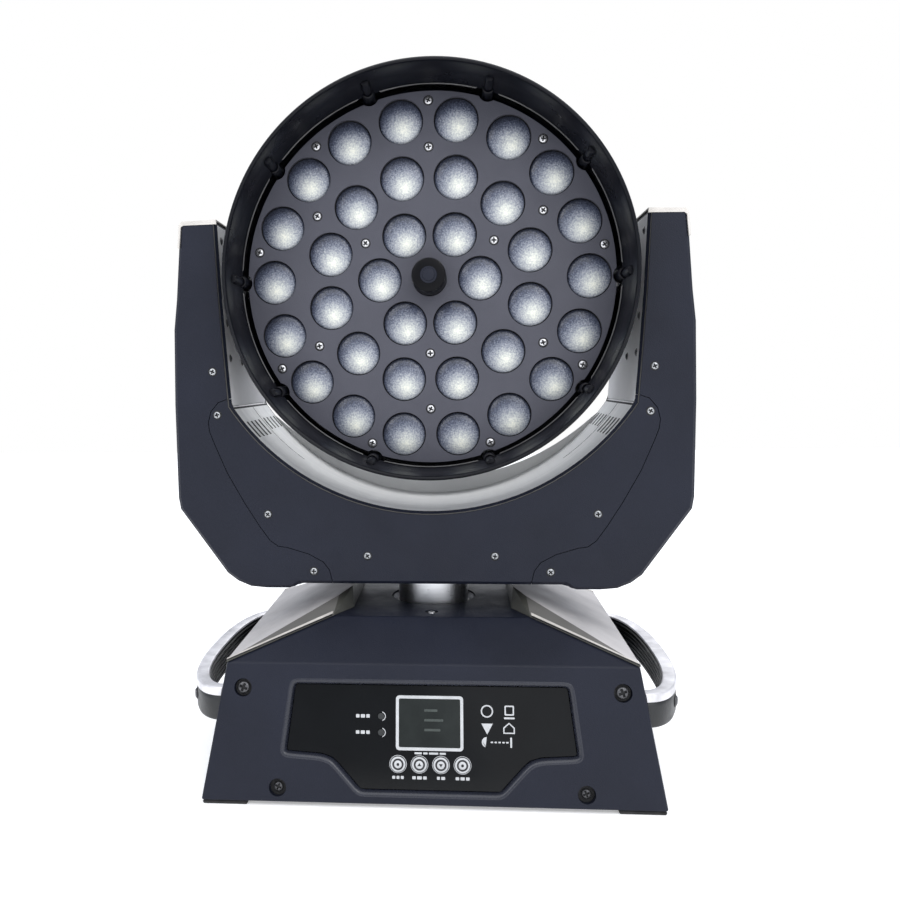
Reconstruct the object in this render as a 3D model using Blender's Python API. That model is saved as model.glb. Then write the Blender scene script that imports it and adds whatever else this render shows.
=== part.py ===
"""A moving head wash light: a base with handles, a yoke that pans, and a round head that tilts.

The frame is +Z up. The origin is on the pan axis, at the underside of the feet, and the front faces -Y.
Shapes are drawn in millimetres and scaled to metres when a node is finished.
"""

from math import asin, atan2, cos, degrees, hypot, pi, radians, sin

import bmesh
import bpy
from mathutils import Matrix, Vector

MM = 0.001
GAP = 0.3  # between touching pieces
SEAM = 0.5  # between cover pieces, where the joint line shows

# Base
FOOT_H = 3.0
BASE_X, BASE_Y = 157.0, 128.0  # half sizes at the bottom of the housing
SHOULDER_X, SHOULDER_Y, SHOULDER_Z = 141.5, 109.0, 93.5  # where the walls meet the ramps
PLATEAU_X, PLATEAU_Y, PLATEAU_Z = 71.0, 70.0, 117.0  # flat top of the housing
RIDGE_X, RIDGE_Y, RIDGE_Z = 61.0, 34.0, 131.5  # inner ridge of each shoulder cover
WALL = 3.0
SHAFT_R = 22.0
SHAFT_HOLE_R = 33.0
FACE_TILT = atan2(BASE_Y - SHOULDER_Y, SHOULDER_Z - FOOT_H)  # lean of the front and rear faces
POCKET_DEPTH = 7.0
PANEL_T = 2.0
BUTTON_R, BUTTON_PITCH, BUTTON_Z = 5.2, 14.6, 28.2
DISPLAY = (-22.8, 22.0, 37.8, 72.3)  # x and z limits of the display window
LIGHT_R, LIGHT_X, LIGHT_ZS = 2.2, -33.6, (59.0, 48.4)
REAR_WINDOW = (-92.0, 92.0, 16.0, 76.0)  # x limits, and limits along the rear face
HANDLE_X, HANDLE_REACH, HANDLE_HALF, HANDLE_T = 144.0, 36.0, 111.0, 11.0  # the bowed outline's centre, sizes and strap
HANDLE_BOW = 2.4  # 2 is an ellipse, more is squarer
HANDLE_Z = (52.0, 76.0)
FACE_HOLES = ((129.5, 77.0, 6.2), (104.0, 12.2, 6.0))  # x, z and radius of the front screw recesses
FINGER_POCKET = (126.0, -66.0, 66.0, 46.0, 82.0)  # depth plane x, y limits, z limits

# Yoke
YOKE_Y = 62.4  # half depth
YOKE_WALL = 2.6
TILT_Z = 363.0
SADDLE_R, SADDLE_Z = 174.5, 367.0  # radius and height of centre
SADDLE_T = 2.6
SADDLE_Y = 58.5  # half width of the saddle and inner covers
ARM_X = 166.0  # half distance between the frame's uprights
FRAME_T = 5.0
FRAME_Y = 40.0
AXLE_R = 8.0

# Head, measured from the tilt axis, y along the beam
RIM_Y, RIM_R = -80.0, 146.0
LIP_Y, LIP_R = -40.0, 140.5
HEAD_SEAM_Y = -16.0
PLATE_Y, PLATE_T, PLATE_R = -32.0, 2.5, 137.0
RINGS = ((6, 0.0, 37.4), (12, 15.0, 76.7), (18, 0.0, 117.3))  # lens count, first angle, ring radius
LENS_HOLE_R = 16.5
BOSS_COUNT, BOSS_RING_R, BOSS_R = 10, 141.0, 4.0
SCALLOP_RING_R, SCALLOP_R = 141.5, 7.2
HUB_R, HUB_FRONT_Y = 12.3, -62.0
VENT_COUNT = 12

# Drives
PAN_MOTOR = (88.0, -2.0)
PAN_GEAR_R, TILT_GEAR_R, MOTOR_PULLEY_R = 40.0, 27.0, 9.0
PAN_BELT_Z = (76.0, 82.0)
TILT_MOTOR_Z = 200.0
TILT_BELT_X = (170.3, 174.7)
BELT_T = 1.4

ROUND, SMALL_ROUND = 48, 16

MATERIALS = {  # colour, roughness, metallic
    "cover_plastic": ((0.045, 0.047, 0.055), 0.45, 0.0),
    "shoulder_plastic": ((0.30, 0.30, 0.31), 0.35, 0.2),
    "panel_gloss": ((0.012, 0.013, 0.015), 0.12, 0.0),
    "display_glass": ((0.03, 0.04, 0.035), 0.10, 0.0),
    "button_rubber": ((0.03, 0.03, 0.032), 0.50, 0.0),
    "indicator_lens": ((0.60, 0.62, 0.60), 0.20, 0.0),
    "foot_rubber": ((0.02, 0.02, 0.02), 0.80, 0.0),
    "handle_metal": ((0.55, 0.55, 0.58), 0.35, 0.8),
    "steel_plate": ((0.50, 0.51, 0.52), 0.40, 1.0),
    "shaft_aluminium": ((0.75, 0.76, 0.78), 0.20, 1.0),
    "saddle_silver": ((0.55, 0.55, 0.56), 0.30, 0.6),
    "bezel_black": ((0.02, 0.02, 0.023), 0.30, 0.0),
    "plate_black": ((0.055, 0.055, 0.065), 0.50, 0.0),
    "lens_acrylic": ((0.80, 0.82, 0.84), 0.20, 0.0),
    "circuit_board": ((0.03, 0.12, 0.05), 0.50, 0.0),
    "belt_rubber": ((0.03, 0.03, 0.03), 0.70, 0.0),
    "socket_plastic": ((0.02, 0.02, 0.02), 0.40, 0.0),
    "motor_black": ((0.06, 0.06, 0.065), 0.40, 0.5),
}


# ---------------------------------------------------------------- mesh helpers


def clear_scene():
    for item in list(bpy.data.objects):
        bpy.data.objects.remove(item)


def make_materials():
    for name, (colour, roughness, metallic) in MATERIALS.items():
        material = bpy.data.materials.new(name)
        material.use_nodes = True
        shader = material.node_tree.nodes["Principled BSDF"]
        shader.inputs["Base Color"].default_value = (*colour, 1.0)
        shader.inputs["Roughness"].default_value = roughness
        shader.inputs["Metallic"].default_value = metallic


def to_object(bm):
    """A loose object from a bmesh, with its faces turned outwards."""
    bmesh.ops.recalc_face_normals(bm, faces=bm.faces)
    mesh = bpy.data.meshes.new("shape")
    bm.to_mesh(mesh)
    bm.free()
    item = bpy.data.objects.new("shape", mesh)
    bpy.context.scene.collection.objects.link(item)
    return item


def placed(item, matrix):
    item.data.transform(matrix)
    return item


def loft(low_loop, high_loop):
    """Closed solid between two outlines with the same number of points."""
    bm = bmesh.new()
    low = [bm.verts.new(p) for p in low_loop]
    high = [bm.verts.new(p) for p in high_loop]
    bm.faces.new(low)
    bm.faces.new(high)
    count = len(low)
    for i in range(count):
        j = (i + 1) % count
        bm.faces.new((low[i], low[j], high[j], high[i]))
    return to_object(bm)


def on_axis(axis, a, b, height):
    """Point with plane coordinates a, b and a height along the axis. The plane is YZ, XZ or XY."""
    return {"X": (height, a, b), "Y": (a, height, b), "Z": (a, b, height)}[axis]


def prism(outline, axis, low, high):
    """An outline in the plane across the axis, extruded from low to high."""
    return loft(
        [on_axis(axis, a, b, low) for a, b in outline],
        [on_axis(axis, a, b, high) for a, b in outline],
    )


def box(x0, x1, y0, y1, z0, z1):
    return prism([(x0, y0), (x1, y0), (x1, y1), (x0, y1)], "Z", z0, z1)


def circle_points(radius, steps, a=0.0, b=0.0, start=0.0):
    turns = (start + 2 * pi * i / steps for i in range(steps))
    return [(a + radius * cos(t), b + radius * sin(t)) for t in turns]


def cylinder(radius, axis, low, high, a=0.0, b=0.0, steps=SMALL_ROUND, start=0.0):
    return prism(circle_points(radius, steps, a, b, start), axis, low, high)


def hull(points):
    bm = bmesh.new()
    for p in points:
        bm.verts.new(p)
    bmesh.ops.convex_hull(bm, input=bm.verts)
    return to_object(bm)


def turned(profile, axis, a=0.0, b=0.0, steps=ROUND):
    """Solid of revolution of a closed profile of (radius, height) points."""
    bm = bmesh.new()
    rings = []
    for radius, height in profile:
        if radius < 1e-6:
            rings.append([bm.verts.new(on_axis(axis, a, b, height))] * steps)
        else:
            ring = circle_points(radius, steps, a, b)
            rings.append([bm.verts.new(on_axis(axis, p, q, height)) for p, q in ring])
    for ring, after in zip(rings, rings[1:] + rings[:1]):
        for i in range(steps):
            j = (i + 1) % steps
            corners = list(dict.fromkeys((ring[i], ring[j], after[j], after[i])))
            if len(corners) > 2:
                bm.faces.new(corners)
    return to_object(bm)


def tube(inner, outer, axis, low, high, a=0.0, b=0.0, steps=ROUND):
    profile = [(inner, low), (outer, low), (outer, high), (inner, high)]
    return turned(profile, axis, a, b, steps)


def joined(items):
    """Several separate shapes in one object, for use as one cutter."""
    bm = bmesh.new()
    for item in items:
        bm.from_mesh(item.data)
        bpy.data.objects.remove(item)
    return to_object(bm)


def bake(item, modifier):
    """Applies the one modifier to the object's mesh."""
    graph = bpy.context.evaluated_depsgraph_get()
    mesh = bpy.data.meshes.new_from_object(item.evaluated_get(graph))
    item.modifiers.remove(modifier)
    item.data = mesh
    return item


def boolean(item, operation, tool):
    modifier = item.modifiers.new("cut", "BOOLEAN")
    modifier.operation = operation
    modifier.object = tool
    bake(item, modifier)
    bpy.data.objects.remove(tool)
    return item


def cut(item, *tools):
    for tool in tools:
        boolean(item, "DIFFERENCE", tool)
    return item


def union(item, *tools):
    for tool in tools:
        boolean(item, "UNION", tool)
    return item


def common(item, tool):
    return boolean(item, "INTERSECT", tool)


def copy_of(item):
    twin = bpy.data.objects.new("shape", item.data.copy())
    bpy.context.scene.collection.objects.link(twin)
    return twin


def bevelled(item, width, segments=2, angle=30.0):
    modifier = item.modifiers.new("bevel", "BEVEL")
    modifier.width = width
    modifier.segments = segments
    modifier.limit_method = "ANGLE"
    modifier.angle_limit = radians(angle)
    return bake(item, modifier)


def offset(outline, distance):
    """The outline moved outwards by the distance, with mitred corners. Its points run anticlockwise."""
    moved = []
    count = len(outline)
    for i, point in enumerate(outline):
        before = Vector(outline[i - 1])
        here = Vector(point)
        after = Vector(outline[(i + 1) % count])
        first = (here - before).normalized()
        second = (after - here).normalized()
        normal_a = Vector((first.y, -first.x))
        normal_b = Vector((second.y, -second.x))
        middle = (normal_a + normal_b).normalized()
        moved.append(tuple(here + middle * distance / max(middle.dot(normal_a), 0.4)))
    return moved


def mirrored(half):
    """A closed outline from its right half, listed from bottom centre to top centre, anticlockwise."""
    return half + [(-x, z) for x, z in reversed(half) if x > 1e-6]


def mirror_x(item):
    item.data.transform(Matrix.Scale(-1, 4, (1, 0, 0)))
    item.data.flip_normals()
    return item


def arc(centre, radius, start, end, steps):
    """Points along an arc, in degrees, ends included."""
    turns = [radians(start + (end - start) * i / steps) for i in range(steps + 1)]
    return [(centre[0] + radius * cos(t), centre[1] + radius * sin(t)) for t in turns]


# ---------------------------------------------------------------- nodes and axes

AXES = {}


def add_axis(name, location, parent=None):
    """An empty on a joint's axis, which the moving pieces hang from."""
    empty = bpy.data.objects.new(name, None)
    empty.empty_display_size = 0.03
    empty.location = Vector(location) * MM
    bpy.context.scene.collection.objects.link(empty)
    if parent:
        empty.parent = AXES[parent]
        empty.location -= Vector(AXES[parent]["place"]) * MM
    empty["place"] = location
    AXES[name] = empty


def node(name, item, material, axis="base_origin"):
    """Names a finished shape, scales it to metres and hangs it from its axis."""
    place = Vector(AXES[axis]["place"])
    item.data.transform(Matrix.Scale(MM, 4) @ Matrix.Translation(-place))
    item.name = item.data.name = name
    item.parent = AXES[axis]
    item.data.materials.clear()
    item.data.materials.append(bpy.data.materials[material])
    item.data.shade_smooth()
    item.data.set_sharp_from_angle(angle=radians(35))
    return item


def make_axes():
    add_axis("base_origin", (0, 0, 0))
    add_axis("pan_axis", (0, 0, 0), "base_origin")
    add_axis("pan_motor_axis", (*PAN_MOTOR, PAN_BELT_Z[0]), "base_origin")
    add_axis("tilt_axis", (0, 0, TILT_Z), "pan_axis")
    add_axis("tilt_motor_axis", (-TILT_BELT_X[0], 0, TILT_MOTOR_Z), "pan_axis")
    add_axis("zoom_axis", (0, PLATE_Y, TILT_Z), "tilt_axis")
    add_axis("screw_axis", (0, 0, TILT_Z), "tilt_axis")
    add_axis("fan_axis", (0, 70, TILT_Z), "tilt_axis")


# ---------------------------------------------------------------- base


def face_matrix(side):
    """Front (-1) or rear (+1) face of the housing: x across, y up the face, z out of the face."""
    up = Vector((0, -side * sin(FACE_TILT), cos(FACE_TILT)))
    out = Vector((0, side * cos(FACE_TILT), sin(FACE_TILT)))
    across = up.cross(out)
    matrix = Matrix((across, up, out)).transposed().to_4x4()
    return Matrix.Translation((0, side * BASE_Y, FOOT_H)) @ matrix


def up_face(z):
    """Distance up the sloped face of a point at height z."""
    return (z - FOOT_H) / cos(FACE_TILT)


def frustum_points(inset=0.0, bottom=FOOT_H):
    """Corners of the housing's outer form, or of its hollow."""
    lean_x = (BASE_X - SHOULDER_X) / (SHOULDER_Z - FOOT_H)
    lean_y = (BASE_Y - SHOULDER_Y) / (SHOULDER_Z - FOOT_H)
    drop = FOOT_H - bottom
    levels = (
        (BASE_X + drop * lean_x - inset, BASE_Y + drop * lean_y - inset, bottom),
        (SHOULDER_X - inset, SHOULDER_Y - inset, SHOULDER_Z - inset * 0.6),
        (PLATEAU_X - inset * 0.6, PLATEAU_Y - inset * 0.6, PLATEAU_Z - inset),
    )
    return [(sx * x, sy * y, z) for x, y, z in levels for sx in (-1, 1) for sy in (-1, 1)]


def panel_outline(shrink=0.0):
    """The display recess: a wide upper part, curved shoulders and a narrower foot. Drawn on the face."""
    half = [
        (0.0, 9.0), (48.5, 9.0), (64.0, 25.5), (68.5, 29.5), (75.0, 31.5), (99.0, 33.0), (101.5, 36.0),
        (96.0, 79.5), (93.0, 82.2), (0.0, 82.2),
    ]  # fmt: skip
    return offset([(x, up_face(z)) for x, z in mirrored(half)], -shrink)


def base_housing():
    """A shell with thicker places behind the display recess, the front screws and the finger pockets."""
    front = face_matrix(-1)
    rear = face_matrix(1)
    depth, y0, y1, z0, z1 = FINGER_POCKET
    hollow = hull(frustum_points(WALL, FOOT_H - 2))
    cut(hollow, placed(prism(panel_outline(-4), "Z", -POCKET_DEPTH - PANEL_T - 3, 5), front))
    for sign in (-1, 1):
        sides = sorted((sign * (depth - WALL), sign * (BASE_X + 5)))
        cut(hollow, box(*sides, y0 - WALL, y1 + WALL, z0 - WALL, z1 + WALL))
        for x, z, _ in FACE_HOLES:
            cut(hollow, placed(cylinder(9, "Z", -9, 5, sign * x, up_face(z), steps=12), front))
    shell = cut(bevelled(hull(frustum_points()), 1.6, 2, 15), hollow)
    mouth, floor = panel_outline(-0.6), panel_outline(2.4)
    pocket = loft([(x, y, 1.0) for x, y in mouth], [(x, y, -POCKET_DEPTH) for x, y in floor])
    cut(shell, placed(pocket, front))
    through = [(0.0, 17.0), (44.0, 17.0), (60.0, 38.0), (86.0, 42.0), (82.0, 74.0), (0.0, 74.0)]
    opening = [(x, up_face(z)) for x, z in mirrored(through)]
    cut(shell, placed(prism(opening, "Z", -POCKET_DEPTH - PANEL_T - 6, -1), front))
    x0, x1, v0, v1 = REAR_WINDOW
    cut(shell, placed(box(x0, x1, v0, v1, -8, 4), rear))
    cut(shell, cylinder(SHAFT_HOLE_R, "Z", PLATEAU_Z - 12, PLATEAU_Z + 4, steps=ROUND))
    cut(shell, cylinder(5.0, "Z", PLATEAU_Z - 1.2, PLATEAU_Z + 4, 0, -55, steps=SMALL_ROUND))
    for sign in (-1, 1):
        cut(shell, box(*sorted((sign * depth, sign * (BASE_X + 5))), y0, y1, z0, z1))
        for x, z, radius in FACE_HOLES:
            hole = cylinder(radius, "Z", -5, 2, sign * x, up_face(z), steps=20)
            cut(shell, placed(hole, front))
    return node("base_housing", shell, "cover_plastic")


def shoulder_cover(sign):
    """The raised roof over one side of the base, resting on the housing's side ramp."""
    corners = [
        (SHOULDER_X, SHOULDER_Y, SHOULDER_Z + GAP),
        (SHOULDER_X, SHOULDER_Y, SHOULDER_Z + 1.6),
        (PLATEAU_X + 0.5, PLATEAU_Y, PLATEAU_Z + GAP),
        (PLATEAU_X - 1.0, 46.0, 127.0),
        (RIDGE_X, RIDGE_Y, RIDGE_Z),
        (RIDGE_X - 2.0, 44.0, PLATEAU_Z + GAP),
    ]
    item = hull([(sign * x, sy * y, z) for x, y, z in corners for sy in (-1, 1)])
    hollow = copy_of(item)
    centre = Vector((sign * 94.0, 0.0, 100.0))
    shrink = Matrix.Translation(centre) @ Matrix.Scale(0.92, 4) @ Matrix.Translation(-centre)
    cut(item, placed(hollow, Matrix.Translation((0, 0, -1.5)) @ shrink))
    cut(item, hull(frustum_points(-GAP)))
    side = "left" if sign < 0 else "right"
    return node(f"shoulder_cover_{side}", item, "shoulder_plastic")


def button_places():
    return [(BUTTON_PITCH * (i - 1.5), up_face(BUTTON_Z)) for i in range(4)]


def control_panel():
    """Everything on the front face, drawn on the face and moved to it."""
    front = face_matrix(-1)
    back = -POCKET_DEPTH + GAP
    x0, x1, z0, z1 = DISPLAY
    display = (x0, x1, up_face(z0), up_face(z1))
    plate = prism(panel_outline(3.0), "Z", back, back + PANEL_T)
    holes = [cylinder(BUTTON_R + GAP, "Z", -12, 0, x, v) for x, v in button_places()]
    holes += [cylinder(LIGHT_R + GAP, "Z", -12, 0, LIGHT_X, up_face(z)) for z in LIGHT_ZS]
    holes.append(box(*display, -12, 0))
    cut(plate, joined(holes))
    node("control_panel", placed(plate, front), "panel_gloss")
    x0, x1, v0, v1 = display
    glass = box(x0 + GAP, x1 - GAP, v0 + GAP, v1 - GAP, back, back + PANEL_T + 0.3)
    node("display_window", placed(glass, front), "display_glass")
    for i, (x, v) in enumerate(button_places()):
        top = back + PANEL_T + 1.3
        profile = [(0, top - 5), (BUTTON_R, top - 5), (BUTTON_R, top - 0.5), (BUTTON_R - 0.6, top), (0, top)]
        axis = f"button_{i + 1}_axis"
        place = front @ Vector((x, v, top))
        add_axis(axis, tuple(place), "base_origin")
        button = placed(turned(profile, "Z", x, v, 20), front)
        node(f"button_{i + 1}", button, "button_rubber", axis)
    for i, z in enumerate(LIGHT_ZS):
        light = cylinder(LIGHT_R, "Z", back - 1, back + PANEL_T + 0.4, LIGHT_X, up_face(z), 12)
        node(f"indicator_light_{i + 1}", placed(light, front), "indicator_lens")
    board = box(-44, 44, up_face(20), up_face(76), -18.0, -16.4)
    node("control_board", placed(board, front), "circuit_board")


def bowed(reach, half):
    """A handle's outline from its front end to its rear end, in the XY plane."""
    turns = [pi * (i / 20 - 0.5) for i in range(21)]
    spans = [sin(t) for t in turns]
    return [(HANDLE_X + reach * (1 - abs(v) ** HANDLE_BOW) ** (1 / HANDLE_BOW), half * v) for v in spans]


def handle(sign):
    """A strap bowed out from the side of the base, its ends cut to the sloped wall."""
    outer = bowed(HANDLE_REACH, HANDLE_HALF)
    inner = bowed(HANDLE_REACH - HANDLE_T, HANDLE_HALF - HANDLE_T)
    root = HANDLE_X - 10
    outline = [(root, -HANDLE_HALF)] + outer + [(root, HANDLE_HALF), (root, HANDLE_HALF - HANDLE_T)]
    outline += list(reversed(inner)) + [(root, HANDLE_T - HANDLE_HALF)]
    strap = bevelled(prism(outline, "Z", *HANDLE_Z), 1.6, 1, 60)
    cut(strap, hull(frustum_points(-GAP)))
    common(strap, box(HANDLE_X - 5, 200, -120, 120, 40, 100))
    if sign < 0:
        mirror_x(strap)
    side = "left" if sign < 0 else "right"
    return node(f"handle_{side}", strap, "handle_metal")


def feet():
    corners = {"front_left": (-1, -1), "front_right": (1, -1), "rear_left": (-1, 1), "rear_right": (1, 1)}
    for name, (sx, sy) in corners.items():
        xs = sorted((sx * (BASE_X - 1), sx * (BASE_X - 32)))
        ys = sorted((sy * (BASE_Y - 1), sy * (BASE_Y - 25)))
        pad = bevelled(box(*xs, *ys, 0, FOOT_H - GAP), 0.8, 1)
        node(f"foot_{name}", pad, "foot_rubber")


def chassis():
    plate = box(-150, 150, -121, 121, FOOT_H + GAP, FOOT_H + GAP + 2.5)
    slots = [box(-60 + 12 * i, -55 + 12 * i, -20, 40, 0, 10) for i in range(11)]
    cut(plate, joined(slots))
    cut(plate, box(-114, 114, -125, -114.5, 0, 10))
    node("base_chassis", plate, "steel_plate")


def rear_panel():
    """Connector plate behind the rear window, with its sockets."""
    rear = face_matrix(1)
    x0, x1, v0, v1 = REAR_WINDOW
    top = -WALL - 0.4
    plate = box(x0 - 5, x1 + 5, v0 - 4, v1 + 4, top - 1.6, top)
    middle = (v0 + v1) / 2
    mains, fuse = (-62.0, middle), (-24.0, middle)
    data = {"data_socket_in": (20.0, middle), "data_socket_out": (60.0, middle)}
    holes = [box(mains[0] - 14.3, mains[0] + 14.3, middle - 10.3, middle + 10.3, -12, 0)]
    holes.append(cylinder(6.3, "Z", -12, 0, *fuse))
    holes += [cylinder(11.3, "Z", -12, 0, x, v, ROUND // 2) for x, v in data.values()]
    cut(plate, joined(holes))
    node("connector_panel", placed(plate, rear), "steel_plate")
    inlet = box(mains[0] - 14, mains[0] + 14, middle - 10, middle + 10, -26, top + 2)
    inlet = union(inlet, box(mains[0] - 20, mains[0] + 20, middle - 13, middle + 13, top + GAP, top + 2.3))
    cut(inlet, box(mains[0] - 11.5, mains[0] + 11.5, middle - 7.5, middle + 7.5, -20, 5))
    node("mains_inlet", placed(inlet, rear), "socket_plastic")
    holder = cylinder(6.0, "Z", -26, top + 2, *fuse)
    holder = union(holder, cylinder(8.0, "Z", top + GAP, top + 3, *fuse))
    node("fuse_holder", placed(holder, rear), "socket_plastic")
    for name, (x, v) in data.items():
        socket = cylinder(11.0, "Z", -26, top + 2, x, v, ROUND // 2)
        union(socket, bevelled(box(x - 13, x + 13, v - 15.5, v + 15.5, top + GAP, top + 2.3), 1.5, 1))
        cut(socket, cylinder(9.2, "Z", -19, 5, x, v, ROUND // 2))
        node(name, placed(socket, rear), "socket_plastic")


def pulley(radius, axis, low, high, a, b, bore, steps):
    """A flat pulley with two low flanges beside the belt."""
    flange = radius + 1.6
    profile = [
        (bore, low - 1), (flange, low - 1), (flange, low), (radius, low), (radius, high), (flange, high),
        (flange, high + 1), (bore, high + 1),
    ]  # fmt: skip
    return turned(profile, axis, a, b, steps)


def belt(plane_axis, low, high, first, first_r, second, second_r):
    """A closed belt round two pulleys, as the difference of two rounded outlines."""
    def outline(extra):
        ax, az = first
        bx, bz = second
        base = atan2(bz - az, bx - ax)
        swing = asin((first_r - second_r) / hypot(bx - ax, bz - az))
        big = [base + pi / 2 - swing + i * (pi + 2 * swing) / 16 for i in range(17)]
        small = [base - pi / 2 + swing + i * (pi - 2 * swing) / 8 for i in range(9)]
        r1, r2 = first_r + extra, second_r + extra
        return [(ax + r1 * cos(t), az + r1 * sin(t)) for t in big] + [
            (bx + r2 * cos(t), bz + r2 * sin(t)) for t in small
        ]

    loop = prism(outline(GAP + BELT_T), plane_axis, low, high)
    return cut(loop, prism(outline(GAP + 0.1), plane_axis, low - 2, high + 2))


def base_drive():
    low, high = PAN_BELT_Z
    x, y = PAN_MOTOR
    body = bevelled(box(x - 21, x + 21, y - 21, y + 21, FOOT_H + GAP + 2.9, 68), 2, 1)
    union(body, cylinder(2.5, "Z", 66, high + 3, x, y, 12))
    node("pan_motor", body, "motor_black")
    small = pulley(MOTOR_PULLEY_R, "Z", low, high, x, y, 2.65, 12)
    node("pan_motor_pulley", small, "steel_plate", "pan_motor_axis")
    loop = belt("Z", low + 0.3, high - 0.3, (0, 0), PAN_GEAR_R, PAN_MOTOR, MOTOR_PULLEY_R)
    node("pan_belt", loop, "belt_rubber")
    bearing = tube(SHAFT_R + 0.2, 31, "Z", 94, 108, steps=32)
    bridge = cut(box(-60, 60, -30, 30, 94.5, 98), cylinder(SHAFT_R + 4, "Z", 90, 100, steps=32))
    union(bearing, bridge)
    node("pan_bearing", bearing, "steel_plate")
    supply = bevelled(box(-118, 44, 8, 86, FOOT_H + GAP + 2.9, 50), 1, 1)
    node("power_supply", supply, "steel_plate")


# ---------------------------------------------------------------- yoke


def inner_profile(grow=0.0):
    """Inside of the U, right half: the saddle arc, then the arm's inner face. grow moves it into the metal."""
    radius = SADDLE_R + grow
    end = degrees(asin((145.5 + grow) / radius))
    points = arc((0, SADDLE_Z), radius, -90, -90 + end, 18)
    return points + [(147.5 + grow, 297.0), (151.0 + grow, 348.0), (153.5 + grow, 405.5)]


def yoke_outline():
    outside = [
        (97.0, 139.0), (103.0, 135.5), (122.0, 135.5), (134.0, 136.6), (143.5, 140.5),
        (151.5, 146.5), (186.0, 194.5), (187.4, 203.0), (188.0, 272.0), (187.0, 327.0), (184.5, 349.0),
        (180.4, 402.0), (179.0, 404.6), (153.5, 405.5),
    ]  # fmt: skip
    inside = [(x, z) for x, z in reversed(inner_profile()[:-1])]
    return mirrored_open(outside + inside)


def mirrored_open(half):
    """Outline of a U from its right half: out along the bottom, up, and back down the inside."""
    left = [(-x, z) for x, z in reversed(half) if x > 1e-6]
    return half + left


def seam_region(grow):
    """The centre cover's share of the front: below the saddle, between two curved seams."""
    half = [
        (0.0, 100.0), (72.5, 100.0), (72.5, 141.0), (74.5, 149.5), (79.0, 155.5), (90.0, 161.5), (106.0, 166.3),
        (112.5, 167.2), (118.5, 171.5), (126.0, 182.0), (137.0, 199.5), (149.5, 222.0), (158.4, 243.0),
        (161.8, 252.0), (162.6, 258.5), (160.6, 266.5), (155.0, 273.2), (148.0, 275.6), (138.0, 276.6),
        (0.0, 276.6),
    ]  # fmt: skip
    return offset(mirrored(half), grow)


def yoke_shell():
    """All outer covers in one hollow piece, open where the saddle and the inner arm covers go."""
    outline = yoke_outline()
    shell = bevelled(prism(outline, "Y", -YOKE_Y, YOKE_Y), 2.4, 1, 30)
    cut(shell, prism(offset(outline, -YOKE_WALL), "Y", YOKE_WALL - YOKE_Y, YOKE_Y - YOKE_WALL))
    window = inner_profile(SADDLE_T + 1.5)[:-1] + [(153.5 + SADDLE_T + 1.0, 402.5)]
    window = [(x, z) for x, z in window] + [(0.0, 402.5)]
    cut(shell, prism(mirrored(window), "Y", -SADDLE_Y - GAP, SADDLE_Y + GAP))
    cut(shell, cylinder(SHAFT_R + 1.5, "Z", 120, 150, steps=32, start=0.05))
    return shell


def yoke_covers():
    shell = yoke_shell()
    for face, sy in (("front", -1), ("rear", 1)):
        ys = (-YOKE_Y - 5, -SEAM / 2) if sy < 0 else (SEAM / 2, YOKE_Y + 5)
        centre = common(copy_of(shell), prism(seam_region(0.0), "Y", *ys))
        node(f"yoke_centre_cover_{face}", centre, "cover_plastic", "pan_axis")
        sides = common(copy_of(shell), box(-220, 220, *ys, 100, 420))
        cut(sides, prism(seam_region(SEAM), "Y", -80, 80))
        for side, sx in (("left", -1), ("right", 1)):
            xs = sorted((sx * 60, sx * 220))
            piece = common(copy_of(sides), box(*xs, -80, 80, 100, 420))
            node(f"yoke_side_cover_{side}_{face}", piece, "cover_plastic", "pan_axis")
        bpy.data.objects.remove(sides)
    bpy.data.objects.remove(shell)


def saddle():
    inner = inner_profile(0.0)
    outer = inner_profile(SADDLE_T)
    arc_inner, arc_outer = inner[:19], outer[:19]
    left = [(-x, z) for x, z in reversed(arc_inner[1:])]
    left_outer = [(-x, z) for x, z in arc_outer[1:]]
    outline = left + arc_inner + list(reversed(arc_outer)) + left_outer
    node("saddle_cover", prism(outline, "Y", -SADDLE_Y, SADDLE_Y), "saddle_silver", "pan_axis")
    for side, sx in (("left", -1), ("right", 1)):
        lower, upper = inner[18:], outer[18:]
        upper = [(x, z + 0.4) if i == 0 else (x, z) for i, (x, z) in enumerate(upper)]
        lower = [(x, z + 0.4) if i == 0 else (x, z) for i, (x, z) in enumerate(lower)]
        lower[-1], upper[-1] = (153.35, 402.2), (153.35 + SADDLE_T, 402.2)
        plate = prism(lower + list(reversed(upper)), "Y", -SADDLE_Y, SADDLE_Y)
        cut(plate, cylinder(AXLE_R + 3, "X", 130, 180, 0, TILT_Z, 24))
        if sx < 0:
            mirror_x(plate)
        node(f"inner_arm_cover_{side}", plate, "saddle_silver", "pan_axis")


def yoke_frame():
    """A bent steel U that carries the head between its uprights."""
    half = [(0.0, 150.0), (126.0, 150.0), (ARM_X, 206.0), (ARM_X, 396.0)]
    centre = [(-x, z) for x, z in reversed(half[1:])] + half
    outer = offset_path(centre, FRAME_T / 2)
    inner = offset_path(centre, -FRAME_T / 2)
    strip = prism(outer + list(reversed(inner)), "Y", -FRAME_Y, FRAME_Y)
    for sign in (-1, 1):
        xs = sorted((sign * 150, sign * 180))
        cut(strip, cylinder(AXLE_R + 0.15, "X", *xs, 0, TILT_Z, 24))
    cut(strip, cylinder(7, "X", -180, -130, 0, TILT_MOTOR_Z, 16))
    node("yoke_frame", strip, "steel_plate", "pan_axis")


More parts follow.
